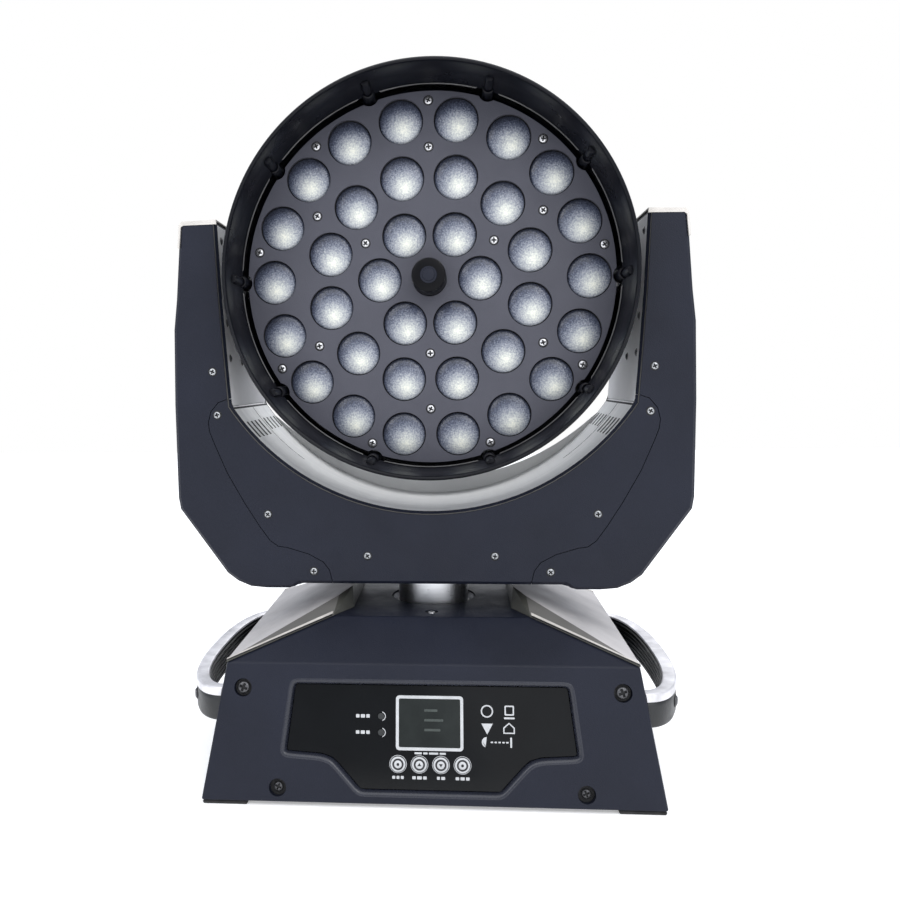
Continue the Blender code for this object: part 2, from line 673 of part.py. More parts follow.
def offset_path(path, distance):
    """An open path moved sideways by the distance, to its right."""
    moved = []
    for i, point in enumerate(path):
        here = Vector(point)
        first = (here - Vector(path[i - 1])).normalized() if i else None
        second = (Vector(path[i + 1]) - here).normalized() if i + 1 < len(path) else first
        first = first or second
        middle = Vector((first.y + second.y, -first.x - second.x)).normalized()
        moved.append(tuple(here + middle * distance / middle.dot(Vector((first.y, -first.x)))))
    return moved


def pan_shaft():
    low, high = PAN_BELT_Z
    shaft = tube(SHAFT_R - 4, SHAFT_R, "Z", low - 1, 147.2, steps=32)
    union(shaft, tube(SHAFT_R - 2, 33, "Z", 143.2, 147.2, steps=32))
    node("pan_shaft", shaft, "shaft_aluminium", "pan_axis")
    gear = pulley(PAN_GEAR_R, "Z", low, high, 0, 0, SHAFT_R + GAP, 24)
    node("pan_pulley", gear, "steel_plate", "pan_axis")


def tilt_drive():
    low, high = TILT_BELT_X
    z = TILT_MOTOR_Z
    body = bevelled(box(-138, -108, -19, 19, z - 19, z + 19), 2, 1)
    union(body, cylinder(2.5, "X", -high - 2, -136, 0, z, 12))
    node("tilt_motor", body, "motor_black", "pan_axis")
    small = pulley(MOTOR_PULLEY_R - 2, "X", -high, -low, 0, z, 2.65, 12)
    node("tilt_motor_pulley", small, "steel_plate", "tilt_motor_axis")
    loop = belt("X", -high + 0.3, -low - 0.3, (0, TILT_Z), TILT_GEAR_R, (0, z), MOTOR_PULLEY_R - 2)
    node("tilt_belt", loop, "belt_rubber", "pan_axis")


# ---------------------------------------------------------------- head


def ring_places(count, first, radius):
    return circle_points(radius, count, 0.0, TILT_Z, radians(first))


def lens_places():
    return [place for ring in RINGS for place in ring_places(*ring)]


def bezel():
    inner = RIM_R - 2.8
    profile = [
        (RIM_R, HEAD_SEAM_Y - SEAM), (RIM_R, RIM_Y + 2.0), (RIM_R - 0.8, RIM_Y + 0.5), (RIM_R - 1.8, RIM_Y),
        (inner, RIM_Y + 0.8), (LIP_R, LIP_Y), (LIP_R, LIP_Y + 2.0), (inner, LIP_Y + 2.8),
        (inner, HEAD_SEAM_Y - SEAM),
    ]  # fmt: skip
    ring = turned(profile, "Y", 0, TILT_Z, 48)
    places = ring_places(BOSS_COUNT, 0, BOSS_RING_R)
    bosses = [cylinder(BOSS_R, "Y", LIP_Y - 3.5, HEAD_SEAM_Y - 4, x, z, 8) for x, z in places]
    union(ring, joined(bosses))
    node("bezel_ring", ring, "bezel_black", "tilt_axis")


def rear_cover():
    outer = [(RIM_R, HEAD_SEAM_Y), (RIM_R, 22.0), (143.0, 34.0), (134.0, 52.0), (112.0, 76.0), (104.0, 80.0)]
    inner = [(r - 2.6, y if y < 0 else y - 1.6) for r, y in outer]
    profile = outer + [(44.0, 84.0), (44.0, 81.6)] + list(reversed(inner))
    shell = turned(profile, "Y", 0, TILT_Z, 40)
    slots = []
    for i in range(VENT_COUNT):
        turn = 2 * pi * (i + 0.5) / VENT_COUNT
        spin = Matrix.Translation((0, 0, TILT_Z)) @ Matrix.Rotation(turn, 4, "Y")
        slots.append(placed(box(62, 92, 60, 100, -3.5, 3.5), spin))
    cut(shell, joined(slots))
    for sign in (-1, 1):
        xs = sorted((sign * 125, sign * 155))
        cut(shell, cylinder(AXLE_R + 2, "X", *xs, 0, TILT_Z, 24))
    node("head_rear_cover", shell, "cover_plastic", "tilt_axis")


def bulkhead():
    disc = tube(34, 140, "Y", 12, 15, 0, TILT_Z, 32)
    for sign in (-1, 1):
        xs = sorted((sign * 124, sign * 138))
        union(disc, bevelled(box(*xs, -9, 13, TILT_Z - 14, TILT_Z + 14), 1.5, 1))
    node("head_frame", disc, "steel_plate", "tilt_axis")
    for side, sx in (("left", -1), ("right", 1)):
        axle = cylinder(AXLE_R, "X", 138.4, 178.5, 0, TILT_Z, 24)
        union(axle, cylinder(AXLE_R + 4, "X", 138.4, 141.5, 0, TILT_Z, 24))
        if sx < 0:
            mirror_x(axle)
        node(f"tilt_axle_{side}", axle, "shaft_aluminium", "tilt_axis")
    low, high = TILT_BELT_X
    gear = pulley(TILT_GEAR_R, "X", -high, -low, 0, TILT_Z, AXLE_R + 0.3, 20)
    node("tilt_pulley", gear, "steel_plate", "tilt_axis")


def head_inside():
    board = tube(12, 123.5, "Y", 8.6, 10.4, 0, TILT_Z, 32)
    node("led_board", board, "circuit_board", "tilt_axis")
    sink = tube(34, 118, "Y", 15.4, 19.0, 0, TILT_Z, 24)
    fins = []
    for i in range(7):
        x = -75 + 25 * i
        half = (112**2 - x**2) ** 0.5
        fins.append(box(x - 1, x + 1, 18, 46, TILT_Z - half, TILT_Z + half))
    inside = cylinder(36, "Y", 10, 60, 0, TILT_Z, 32)
    union(sink, cut(joined(fins), inside))
    node("heat_sink", sink, "shaft_aluminium", "tilt_axis")
    motor = bevelled(box(-17.5, 17.5, 15.6, 44, TILT_Z - 17.5, TILT_Z + 17.5), 2, 1)
    node("zoom_motor", motor, "motor_black", "tilt_axis")
    screw = cylinder(3.0, "Y", -40.0, 15.2, 0, TILT_Z, 12)
    node("zoom_screw", screw, "shaft_aluminium", "screw_axis")
    frame = cut(box(-46, 46, 56, 76, TILT_Z - 46, TILT_Z + 46), cylinder(43.5, "Y", 50, 80, 0, TILT_Z, 32))
    spokes = [box(-45, 45, 73, 75.5, TILT_Z - 2, TILT_Z + 2), box(-2, 2, 73, 75.5, TILT_Z - 45, TILT_Z + 45)]
    union(frame, *spokes)
    node("fan_frame", frame, "socket_plastic", "tilt_axis")
    rotor = cylinder(17, "Y", 57, 71.5, 0, TILT_Z, 24)
    for i in range(7):
        blade = placed(box(14, 41.5, -0.8, 0.8, -7, 7), Matrix.Rotation(radians(40), 4, "X"))
        turn = Matrix.Rotation(2 * pi * i / 7, 4, "Y")
        union(rotor, placed(blade, Matrix.Translation((0, 64.3, TILT_Z)) @ turn))
    node("fan_rotor", rotor, "socket_plastic", "fan_axis")


def zoom_carriage():
    back = PLATE_Y + PLATE_T
    plate = cylinder(PLATE_R, "Y", PLATE_Y, back, 0, TILT_Z, 64)
    holes = [cylinder(LENS_HOLE_R, "Y", -50, 0, x, z, 10) for x, z in lens_places()]
    places = ring_places(BOSS_COUNT, 0, SCALLOP_RING_R)
    holes += [cylinder(SCALLOP_R, "Y", -50, 0, x, z, 8) for x, z in places]
    holes.append(cylinder(HUB_R + GAP, "Y", -50, 0, 0, TILT_Z, 24))
    cut(plate, joined(holes))
    node("lens_plate", plate, "plate_black", "zoom_axis")
    carrier = tube(HUB_R + GAP, 131, "Y", back + 2.0, back + 4.0, 0, TILT_Z, 32)
    lenses = []
    for x, z in lens_places():
        edge, top = LENS_HOLE_R - 1.2, PLATE_Y - 1.5
        profile = [(0, top), (edge, top + 2.5), (edge, back + 3.0), (0, back + 3.0)]
        lenses.append(turned(profile, "Y", x, z, 8))
    union(carrier, joined(lenses))
    node("lens_array", carrier, "lens_acrylic", "zoom_axis")
    front = HUB_FRONT_Y
    profile = [
        (0, front - 1.5), (4, front - 1.5), (4, front), (HUB_R - 1.2, front), (HUB_R, front + 1.2),
        (HUB_R, back + 6), (3.4, back + 6), (3.4, front + 8), (0, front + 8),
    ]  # fmt: skip
    node("centre_hub", turned(profile, "Y", 0, TILT_Z, 16), "bezel_black", "zoom_axis")


def main():
    clear_scene()
    make_materials()
    make_axes()
    base_housing()
    for sign in (-1, 1):
        shoulder_cover(sign)
        handle(sign)
    control_panel()
    feet()
    chassis()
    rear_panel()
    base_drive()
    yoke_covers()
    saddle()
    yoke_frame()
    pan_shaft()
    tilt_drive()
    bezel()
    rear_cover()
    bulkhead()
    head_inside()
    zoom_carriage()


main()
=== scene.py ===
"""Looks of the moving head light: materials, fine pieces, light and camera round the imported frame.

Shapes are drawn in millimetres, in the frame of the CAD, and scaled to metres when a piece is finished.
"""

from math import asin, atan2, cos, degrees, hypot, pi, radians, sin

import bmesh
import bpy
from mathutils import Matrix, Vector


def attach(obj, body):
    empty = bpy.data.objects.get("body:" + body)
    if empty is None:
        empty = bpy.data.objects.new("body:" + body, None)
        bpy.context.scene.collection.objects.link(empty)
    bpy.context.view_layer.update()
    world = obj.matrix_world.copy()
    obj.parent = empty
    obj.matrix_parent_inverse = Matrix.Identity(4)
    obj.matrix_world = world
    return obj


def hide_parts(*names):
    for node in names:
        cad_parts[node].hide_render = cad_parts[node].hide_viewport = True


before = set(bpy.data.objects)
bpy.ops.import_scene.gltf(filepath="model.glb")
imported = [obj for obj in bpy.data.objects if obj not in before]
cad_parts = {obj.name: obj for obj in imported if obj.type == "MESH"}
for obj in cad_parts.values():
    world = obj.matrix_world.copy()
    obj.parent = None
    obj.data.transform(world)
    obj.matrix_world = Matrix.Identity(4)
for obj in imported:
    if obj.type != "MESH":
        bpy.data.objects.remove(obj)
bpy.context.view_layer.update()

MM = 0.001
FLOOR_HALF = 3.0  # metres
TILT_Z = 363.0
YOKE_Y = 62.4
PLATE_FRONT, PLATE_BACK, PLATE_R = -32.0, -29.5, 137.0
RINGS = ((6, 0.0, 37.4), (12, 15.0, 76.7), (18, 0.0, 117.3))
LENS_HOLE_R = 16.5
PLATE_SCREW_RINGS = ((3, 30, 55.0), (6, 30, 96.6), (9, 90, 130.0))
BOSS_COUNT, BOSS_RING_R, RIB_RING_R = 10, 141.0, 141.9
SCALLOP_RING_R, SCALLOP_R = 141.5, 7.2
LIP_R = 139.75
HUB_R = 12.3
SADDLE_R, SADDLE_Z = 174.5, 367.0
FLANGE_RISE, FLANGE_HALF = 11.5, 52.0  # turned-up rear edge of the saddle: height at its middle, half angle
HIGHLIGHT_REACH = 62.9  # how far the painted highlight strips on the arm tops come forward and back
BASE_Y, FOOT_H = 128.0, 3.0
SHOULDER_X, SHOULDER_Y, SHOULDER_Z = 141.5, 109.0, 93.5
FACE_TILT = atan2(BASE_Y - SHOULDER_Y, SHOULDER_Z - FOOT_H)
PANEL_TOP = -4.7
BUTTON_XS = (-21.9, -7.3, 7.3, 21.9)
BUTTON_Z = 28.2
BUTTON_TOP = -3.4
DISPLAY = (-22.8, 22.0, 37.8, 72.3)
LIGHT_X, LIGHT_ZS = -33.6, (59.0, 48.4)
HANDLE_X, HANDLE_REACH, HANDLE_HALF, HANDLE_BOW = 144.0, 36.0, 111.0, 2.4
HANDLE_Z = (52.0, 76.0)
HANDLE_SCREW, HANDLE_OUT = (170.2, 85.0, 63.0), (0.945, 0.326)  # a screw's place and the way it faces
SLEEVE_R, SLEEVE_TOP = 27.4, 138.6
REAR_SEAM_Y, VENT_COUNT, AXLE_HOLE_R = -16.0, 12, 10.0
GUARD_Y = 82.4
REAR_SCREW_R, REAR_SCREW_Y, REAR_OUT = 122.5, 64.6, (0.737, 0.676)  # REAR_OUT: radial and along Y
LENS_PAINTED_HIGHLIGHT = (0.14, -0.42, 0.0)  # place of the painted highlight on each lens, in parts of its radius


# ---------------------------------------------------------------- materials


def new_material(name):
    material = bpy.data.materials.new(name)
    material.use_nodes = True
    return material, material.node_tree, material.node_tree.nodes["Principled BSDF"]


def add(tree, kind, **values):
    """A node with some of its settings and inputs set by name."""
    made = tree.nodes.new(kind)
    for key, value in values.items():
        if hasattr(made, key):
            setattr(made, key, value)
        else:
            made.inputs[key.replace("_", " ")].default_value = value
    return made


def noise(tree, scale, detail=3.0, stretch=None):
    """Noise in the object's own metres, optionally stretched along an axis."""
    where = add(tree, "ShaderNodeTexCoord")
    made = add(tree, "ShaderNodeTexNoise", Scale=scale, Detail=detail)
    source = where.outputs["Object"]
    if stretch:
        mapping = add(tree, "ShaderNodeMapping", Scale=stretch)
        tree.links.new(source, mapping.inputs["Vector"])
        source = mapping.outputs["Vector"]
    tree.links.new(source, made.inputs["Vector"])
    return made.outputs["Fac"]


def ramp(tree, source, stops):
    """Colour ramp of (position, colour) stops."""
    made = tree.nodes.new("ShaderNodeValToRGB")
    elements = made.color_ramp.elements
    for i, (place, colour) in enumerate(stops):
        element = elements[i] if i < 2 else elements.new(place)
        element.position = place
        element.color = (*colour, 1.0)
    tree.links.new(source, made.inputs["Fac"])
    return made.outputs["Color"]


def spread(tree, source, low, high):
    made = add(tree, "ShaderNodeMapRange", From_Min=0.3, From_Max=0.7, To_Min=low, To_Max=high)
    tree.links.new(source, made.inputs["Value"])
    return made.outputs["Result"]


def bump(tree, shader, source, depth, strength=1.0):
    made = add(tree, "ShaderNodeBump", Distance=depth, Strength=strength)
    tree.links.new(source, made.inputs["Height"])
    tree.links.new(made.outputs["Normal"], shader.inputs["Normal"])


def shade(colour, factor):
    return tuple(min(1.0, c * factor) for c in colour)


def surface(name, colour, rough, metal=0.0, grain=900.0, depth=0.0001, mottle=0.12, patch=18.0, **more):
    """A general finish: mottled colour, uneven gloss and a fine grain."""
    material, tree, shader = new_material(name)
    wide = noise(tree, patch, 4.0, more.get("stretch"))
    stops = ((0.3, shade(colour, 1 - mottle)), (0.7, shade(colour, 1 + mottle)))
    tree.links.new(ramp(tree, wide, stops), shader.inputs["Base Color"])
    uneven = noise(tree, patch * 3.7, 5.0, more.get("stretch"))
    tree.links.new(spread(tree, uneven, rough * 0.85, min(1.0, rough * 1.15)), shader.inputs["Roughness"])
    bump(tree, shader, noise(tree, grain, 2.0, more.get("stretch")), depth, more.get("strength", 0.5))
    shader.inputs["Metallic"].default_value = metal
    for socket, value in more.get("sockets", {}).items():
        shader.inputs[socket].default_value = value
    return material


def lens_material():
    """Pearly moulded lens with painted light: a painted highlight low and a little right of the middle, fading
    to painted shade towards the top. The map runs from -1 to 1 across each lens, so all are shaded alike.
    """
    material, tree, shader = new_material("lens_painted_light")
    place = add(tree, "ShaderNodeUVMap", uv_map="lens")
    split = add(tree, "ShaderNodeSeparateXYZ")
    tree.links.new(place.outputs["UV"], split.inputs["Vector"])
    away = add(tree, "ShaderNodeVectorMath", operation="DISTANCE")
    flat = add(tree, "ShaderNodeCombineXYZ")
    tree.links.new(split.outputs["X"], flat.inputs["X"])
    tree.links.new(split.outputs["Y"], flat.inputs["Y"])
    tree.links.new(flat.outputs["Vector"], away.inputs[0])
    away.inputs[1].default_value = LENS_PAINTED_HIGHLIGHT
    speckle = noise(tree, 950.0, 2.0)
    rough_edge = add(tree, "ShaderNodeMath", operation="MULTIPLY_ADD")
    tree.links.new(speckle, rough_edge.inputs[0])
    rough_edge.inputs[1].default_value = 0.85
    tree.links.new(away.outputs["Value"], rough_edge.inputs[2])
    height = add(tree, "ShaderNodeMapRange", From_Min=0.40, From_Max=2.05)
    tree.links.new(rough_edge.outputs["Value"], height.inputs["Value"])
    # painted light: palest at the painted highlight, darkening outwards to painted shade at the top of each
    # lens
    stops = (
        (0.0, (0.88, 0.88, 0.78)), (0.14, (0.68, 0.70, 0.65)), (0.30, (0.43, 0.45, 0.47)),
        (0.46, (0.22, 0.24, 0.29)), (0.62, (0.080, 0.092, 0.135)), (0.80, (0.030, 0.034, 0.050)),
        (1.0, (0.016, 0.018, 0.026)),
    )  # fmt: skip
    tree.links.new(ramp(tree, height.outputs["Result"], stops), shader.inputs["Base Color"])
    shader.inputs["Roughness"].default_value = 0.22
    shader.inputs["IOR"].default_value = 1.49
    bump(tree, shader, noise(tree, 700.0, 1.0), 0.0004, 0.8)
    return material


def shoulder_material():
    """Silver on the outside of the shoulder covers, darker olive on the walls that face the shaft: light and
    shade painted by the way each face turns.
    """
    material, tree, shader = new_material("shoulder_painted_light_and_shade")
    geometry = add(tree, "ShaderNodeNewGeometry")
    place = add(tree, "ShaderNodeSeparateXYZ")
    normal = add(tree, "ShaderNodeSeparateXYZ")
    tree.links.new(geometry.outputs["Position"], place.inputs["Vector"])
    tree.links.new(geometry.outputs["Normal"], normal.inputs["Vector"])
    sign = add(tree, "ShaderNodeMath", operation="SIGN")
    tree.links.new(place.outputs["X"], sign.inputs[0])
    outward = add(tree, "ShaderNodeMath", operation="MULTIPLY")
    tree.links.new(sign.outputs["Value"], outward.inputs[0])
    tree.links.new(normal.outputs["X"], outward.inputs[1])
    # painted light and shade: the colour follows which way a face turns, silver outwards and olive towards the
    # shaft
    facing = add(tree, "ShaderNodeMapRange", From_Min=0.05, From_Max=0.25)
    tree.links.new(outward.outputs["Value"], facing.inputs["Value"])
    silver = ramp(tree, noise(tree, 26.0, 6.0), ((0.3, (0.50, 0.48, 0.475)), (0.7, (0.68, 0.65, 0.64))))
    olive = ramp(tree, noise(tree, 40.0, 4.0), ((0.3, (0.060, 0.060, 0.052)), (0.7, (0.085, 0.085, 0.075))))
    blend = add(tree, "ShaderNodeMix", data_type="RGBA")
    tree.links.new(facing.outputs["Result"], blend.inputs["Factor"])
    tree.links.new(olive, blend.inputs["A"])
    tree.links.new(silver, blend.inputs["B"])
    tree.links.new(blend.outputs["Result"], shader.inputs["Base Color"])
    tree.links.new(spread(tree, noise(tree, 60.0), 0.38, 0.52), shader.inputs["Roughness"])
    shader.inputs["Metallic"].default_value = 0.25
    bump(tree, shader, noise(tree, 1500.0, 2.0), 0.0003, 0.6)
    return material


def make_materials():
    """Finishes by name, each with colour, roughness, metal, grain scale and depth, mottle and patch scale."""
    made = {
        "cover_plastic": surface("cover_black", (0.0095, 0.0115, 0.0210), 0.46, 0, 1400, 0.0003, 0.14, 16.0,
                                 strength=0.6, sockets={"Specular IOR Level": 0.24}),
        "shoulder_plastic": shoulder_material(),
        "panel_gloss": surface("panel_black", (0.0025, 0.003, 0.0035), 0.10, 0, 300, 0.00002, 0.3, 25.0,
                               strength=0.1, sockets={"Specular IOR Level": 0.22}),
        "display_glass": surface("display_grey", (0.012, 0.015, 0.014), 0.14, 0, 400, 0.00002, 0.28, 60.0,
                                 strength=0.1, sockets={"Specular IOR Level": 0.30}),
        "display_ink": surface("display_digits", (0.045, 0.055, 0.05), 0.3, 0, 900, 0.00005, 0.2, 90.0),
        "button_rubber": surface("button_black", (0.015, 0.015, 0.017), 0.5, 0, 1600, 0.0001, 0.15, 90.0),
        "indicator_lens": surface("indicator_dark", (0.03, 0.032, 0.032), 0.18, 0, 600, 0.00005, 0.2, 200.0),
        "foot_rubber": surface("foot_rubber_black", (0.012, 0.012, 0.012), 0.8, 0, 700, 0.0003, 0.25, 60.0),
        "handle_metal": surface("handle_silver", (0.72, 0.71, 0.73), 0.36, 0.45, 1200, 0.0001, 0.24, 70.0,
                                strength=0.3),
        "steel_plate": surface("zinc_steel", (0.42, 0.43, 0.44), 0.36, 1.0, 500, 0.0001, 0.16, 45.0),
        "shaft_aluminium": surface("turned_aluminium", (0.88, 0.89, 0.91), 0.32, 1, 900, 0.00005, 0.06, 30.0,
                                   stretch=(1.0, 1.0, 16.0)),
        "saddle_silver": surface("saddle_paint", (0.86, 0.86, 0.84), 0.36, 0.40, 900, 0.0001, 0.07, 9.0,
                                 strength=0.3, stretch=(1.0, 14.0, 1.0)),
        "arm_grey": surface("arm_paint", (0.92, 0.91, 0.92), 0.45, 0.0, 1100, 0.0002, 0.1, 14.0),
        "bezel_black": surface("bezel_satin", (0.0030, 0.0034, 0.0058), 0.30, 0, 1500, 0.0001, 0.06, 6.0,
                               strength=0.2, sockets={"Specular IOR Level": 0.20}),
        # painted highlight for the lip at the back of the bezel
        "bezel_lip_highlight": surface("bezel_lip_painted_highlight", (0.075, 0.074, 0.074), 0.25, 0, 900, 0.0001, 0.3, 60.0),
        "plate_black": surface("plate_satin", (0.062, 0.063, 0.082), 0.50, 0, 1500, 0.0003, 0.10, 22.0,
                               strength=0.6),
        "lens_acrylic": lens_material(),
        "circuit_board": surface("board_green", (0.02, 0.10, 0.04), 0.4, 0, 500, 0.0001, 0.25, 120.0),
        "belt_rubber": surface("belt_black", (0.02, 0.02, 0.02), 0.7, 0, 900, 0.0003, 0.2, 80.0),
        "socket_plastic": surface("socket_black", (0.014, 0.014, 0.015), 0.38, 0, 1300, 0.0001, 0.2, 60.0),
        "motor_black": surface("motor_paint", (0.04, 0.04, 0.043), 0.4, 0.5, 700, 0.0001, 0.2, 50.0),
        "screw_bright": surface("screw_zinc", (0.74, 0.74, 0.75), 0.30, 0.9, 1500, 0.0001, 0.12, 300.0),
        "hub_black": surface("hub_satin", (0.0030, 0.0030, 0.0040), 0.40, 0, 1500, 0.0001, 0.1, 40.0,
                             sockets={"Specular IOR Level": 0.12}),
        "screw_dark": surface("screw_blackened", (0.10, 0.10, 0.105), 0.36, 0.7, 1500, 0.0001, 0.2, 300.0),
        "recess_dark": surface("recess_shadow", (0.006, 0.006, 0.007), 0.7, 0, 900, 0.0001, 0.3, 100.0),
        "mark_white": surface("mark_ink", (0.50, 0.51, 0.52), 0.55, 0, 1800, 0.0001, 0.08, 150.0),
        "grip_rubber": surface("grip_black", (0.012, 0.013, 0.014), 0.42, 0, 900, 0.0002, 0.2, 40.0),
        # light beige: painted highlight on the arm tops, and the light strips on the shoulder covers
        "beige_strip_and_highlight": surface("beige_strip_and_painted_highlight", (0.62, 0.59, 0.55), 0.45, 0.1, 1000, 0.0001, 0.14, 60.0),
        "lip_grey": surface("cover_edge_grey", (0.13, 0.127, 0.118), 0.4, 0, 1000, 0.0001, 0.14, 60.0),
        "edge_satin": surface("recess_edge_satin", (0.0150, 0.0170, 0.0270), 0.27, 0, 1400, 0.00003, 0.10, 60.0,
                              strength=0.2),
        "floor": surface("floor_pale", (0.88, 0.88, 0.88), 0.65, 0, 60, 0.0002, 0.01, 2.0,
                         sockets={"Emission Color": (1.0, 1.0, 1.0, 1.0), "Emission Strength": 0.34}),
    }  # fmt: skip
    return made


# ---------------------------------------------------------------- mesh helpers


def finish_piece(name, bm, body, finish, replaces=(), angle=35.0):
    """Scales a shape to metres and puts it on its body with its finish."""
    bmesh.ops.recalc_face_normals(bm, faces=bm.faces)
    bmesh.ops.scale(bm, vec=(MM, MM, MM), verts=bm.verts)
    mesh = bpy.data.meshes.new(name)
    bm.to_mesh(mesh)
    bm.free()
    piece = bpy.data.objects.new(name, mesh)
    bpy.context.scene.collection.objects.link(piece)
    mesh.materials.append(FINISH[finish])
    mesh.shade_smooth()
    mesh.set_sharp_from_angle(angle=radians(angle))
    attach(piece, body)
    if replaces:
        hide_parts(*replaces)
    return piece


def merge(target, source, matrix=None):
    """Adds one bmesh to another, optionally moved."""
    mesh = bpy.data.meshes.new("part")
    source.to_mesh(mesh)
    if matrix:
        mesh.transform(matrix)
    target.from_mesh(mesh)
    bpy.data.meshes.remove(mesh)


def loft(loops, closed=False, caps=True):
    """Solid through loops of points. closed joins the last loop to the first."""
    bm = bmesh.new()
    rings = [[bm.verts.new(p) for p in loop] for loop in loops]
    count = len(rings[0])
    pairs = list(zip(rings, rings[1:]))
    if closed:
        pairs.append((rings[-1], rings[0]))
    for low, high in pairs:
        for i in range(count):
            j = (i + 1) % count
            bm.faces.new((low[i], low[j], high[j], high[i]))
    if caps and not closed:
        bm.faces.new(rings[0])
        bm.faces.new(rings[-1])
    return bm


def turned(profile, steps=64):
    """Solid of revolution about local Z of a (radius, height) profile, which starts and ends on the axis or
    is closed and stays off it."""
    bm = bmesh.new()
    rings = []
    for radius, height in profile:
        if radius < 1e-6:
            rings.append([bm.verts.new((0, 0, height))] * steps)
        else:
            turns = [2 * pi * i / steps for i in range(steps)]
            rings.append([bm.verts.new((radius * cos(t), radius * sin(t), height)) for t in turns])
    closed = profile[0][0] > 1e-6
    pairs = list(zip(rings, rings[1:])) + ([(rings[-1], rings[0])] if closed else [])
    for low, high in pairs:
        for i in range(steps):
            j = (i + 1) % steps
            corners = list(dict.fromkeys((low[i], low[j], high[j], high[i])))
            if len(corners) > 2:
                bm.faces.new(corners)
    return bm


def prism(outline, low, high):
    return loft([[(x, y, low) for x, y in outline], [(x, y, high) for x, y in outline]])


def circle(radius, steps, x=0.0, y=0.0, start=0.0):
    turns = [start + 2 * pi * i / steps for i in range(steps)]
    return [(x + radius * cos(t), y + radius * sin(t)) for t in turns]


def loose(bm):
    bmesh.ops.recalc_face_normals(bm, faces=bm.faces)
    mesh = bpy.data.meshes.new("loose")
    bm.to_mesh(mesh)
    bm.free()
    item = bpy.data.objects.new("loose", mesh)
    bpy.context.scene.collection.objects.link(item)
    return item


def carved(bm, tool_bm, width=0.0, angle=40.0):
    """The first shape with the second cut away and its edges softened, as a new bmesh."""
    item, tool = loose(bm), loose(tool_bm)
    cut = item.modifiers.new("cut", "BOOLEAN")
    cut.operation = "DIFFERENCE"
    cut.object = tool
    if width:
        soften = item.modifiers.new("soften", "BEVEL")
        soften.width = width
        soften.segments = 2
        soften.limit_method = "ANGLE"
        soften.angle_limit = radians(angle)
    graph = bpy.context.evaluated_depsgraph_get()
    result = bmesh.new()
    mesh = bpy.data.meshes.new_from_object(item.evaluated_get(graph))
    result.from_mesh(mesh)
    bpy.data.meshes.remove(mesh)
    bpy.data.objects.remove(item)
    bpy.data.objects.remove(tool)
    return result


def softened(bm, width, segments=2, angle=30.0):
    """The shape with its sharp edges rounded."""
    edges = [e for e in bm.edges if len(e.link_faces) == 2 and degrees(e.calc_face_angle(0)) > angle]
    bmesh.ops.bevel(
        bm, geom=edges, offset=width, segments=segments, affect="EDGES", profile=0.6, clamp_overlap=True
    )
    return bm


def head_axis(x=0.0, z=TILT_Z):
    """Local Z runs along -Y, out of the front of the head; local X stays X and local Y is up."""
    return Matrix(((1, 0, 0, x), (0, 0, -1, 0), (0, 1, 0, z), (0, 0, 0, 1)))


def face_matrix(side):
    """Front (-1) or rear (+1) face of the housing: x across, y up the face, z out of it."""
    up = Vector((0, -side * sin(FACE_TILT), cos(FACE_TILT)))
    out = Vector((0, side * cos(FACE_TILT), sin(FACE_TILT)))
    matrix = Matrix((up.cross(out), up, out)).transposed().to_4x4()
    return Matrix.Translation((0, side * BASE_Y, FOOT_H)) @ matrix


def up_face(z):
    return (z - FOOT_H) / cos(FACE_TILT)


def ring_places(count, first, radius):
    return circle(radius, count, 0.0, TILT_Z, radians(first))


def lens_places():
    return [place for ring in RINGS for place in ring_places(*ring)]


# ---------------------------------------------------------------- screws


def recess_outline_of(radius, recess):
    """Outline of a screw's driver recess."""
    if recess == "hex":
        return circle(radius * 0.48, 6)
    arm, half = radius * 0.66, radius * 0.2
    return [
        (half, half), (arm, half), (arm, -half), (half, -half), (half, -arm), (-half, -arm),
        (-half, -half), (-arm, -half), (-arm, half), (-half, half), (-half, arm), (half, arm),
    ]  # fmt: skip


def screw_head(radius, height, recess="cross"):
    """A pan head with its recess, along local Z with its seat at 0."""
    profile = [(0, -0.4), (radius, -0.4), (radius, height * 0.25), (radius * 0.93, height * 0.6),
               (radius * 0.72, height * 0.9), (radius * 0.4, height), (0, height)]  # fmt: skip
    return carved(turned(profile, 28), prism(recess_outline_of(radius, recess), height * 0.1, height + 2))


def screw_set(name, spots, radius, height, body, finish, recess="cross", well=0.0):
    """Screws at (matrix, turn) spots, as one piece, with painted shade in the bottom of each recess, and a
    painted shadow ring, a flat dark disc, under each if its radius is given.
    """
    head = screw_head(radius, height, recess)
    # painted shade: a dark block in the bottom of each driver recess
    shadow = prism(recess_outline_of(radius * 0.98, recess), height * 0.05, height * 0.32)
    every, floors = bmesh.new(), bmesh.new()
    for matrix, turn in spots:
        spin = matrix @ Matrix.Rotation(radians(turn), 4, "Z")
        merge(every, head, spin)
        merge(floors, shadow, spin)
    head.free()
    shadow.free()
    finish_piece(name, every, body, finish)
    finish_piece(f"{name}_recesses", floors, body, "recess_dark")
    if well:
        # painted shadow: a flat dark disc round the foot of each head
        rings = bmesh.new()
        section = [(0, -0.3), (well, -0.3), (well, 0.08), (radius * 0.9, 0.14), (0, 0.14)]
        for matrix, _ in spots:
            merge(rings, turned(section, 24), matrix)
        finish_piece(f"{name}_shadow_rings", rings, body, "recess_dark")


def facing_seat(place, out):
    """Where a screw sits, with its head turned towards out."""
    return Matrix.Translation(place) @ out.to_track_quat("Z", "Y").to_matrix().to_4x4()


def mirrored_spots(points, matrix_of):
    """Spots on both sides, each with its own turn so that the recesses don't line up."""
    spots = []
    for i, (x, z) in enumerate(points):
        for sign in (-1, 1) if x else (1,):
            spots.append((matrix_of(sign * x, z), 37.0 * i + 23.0 * sign))
    return spots


# ---------------------------------------------------------------- head


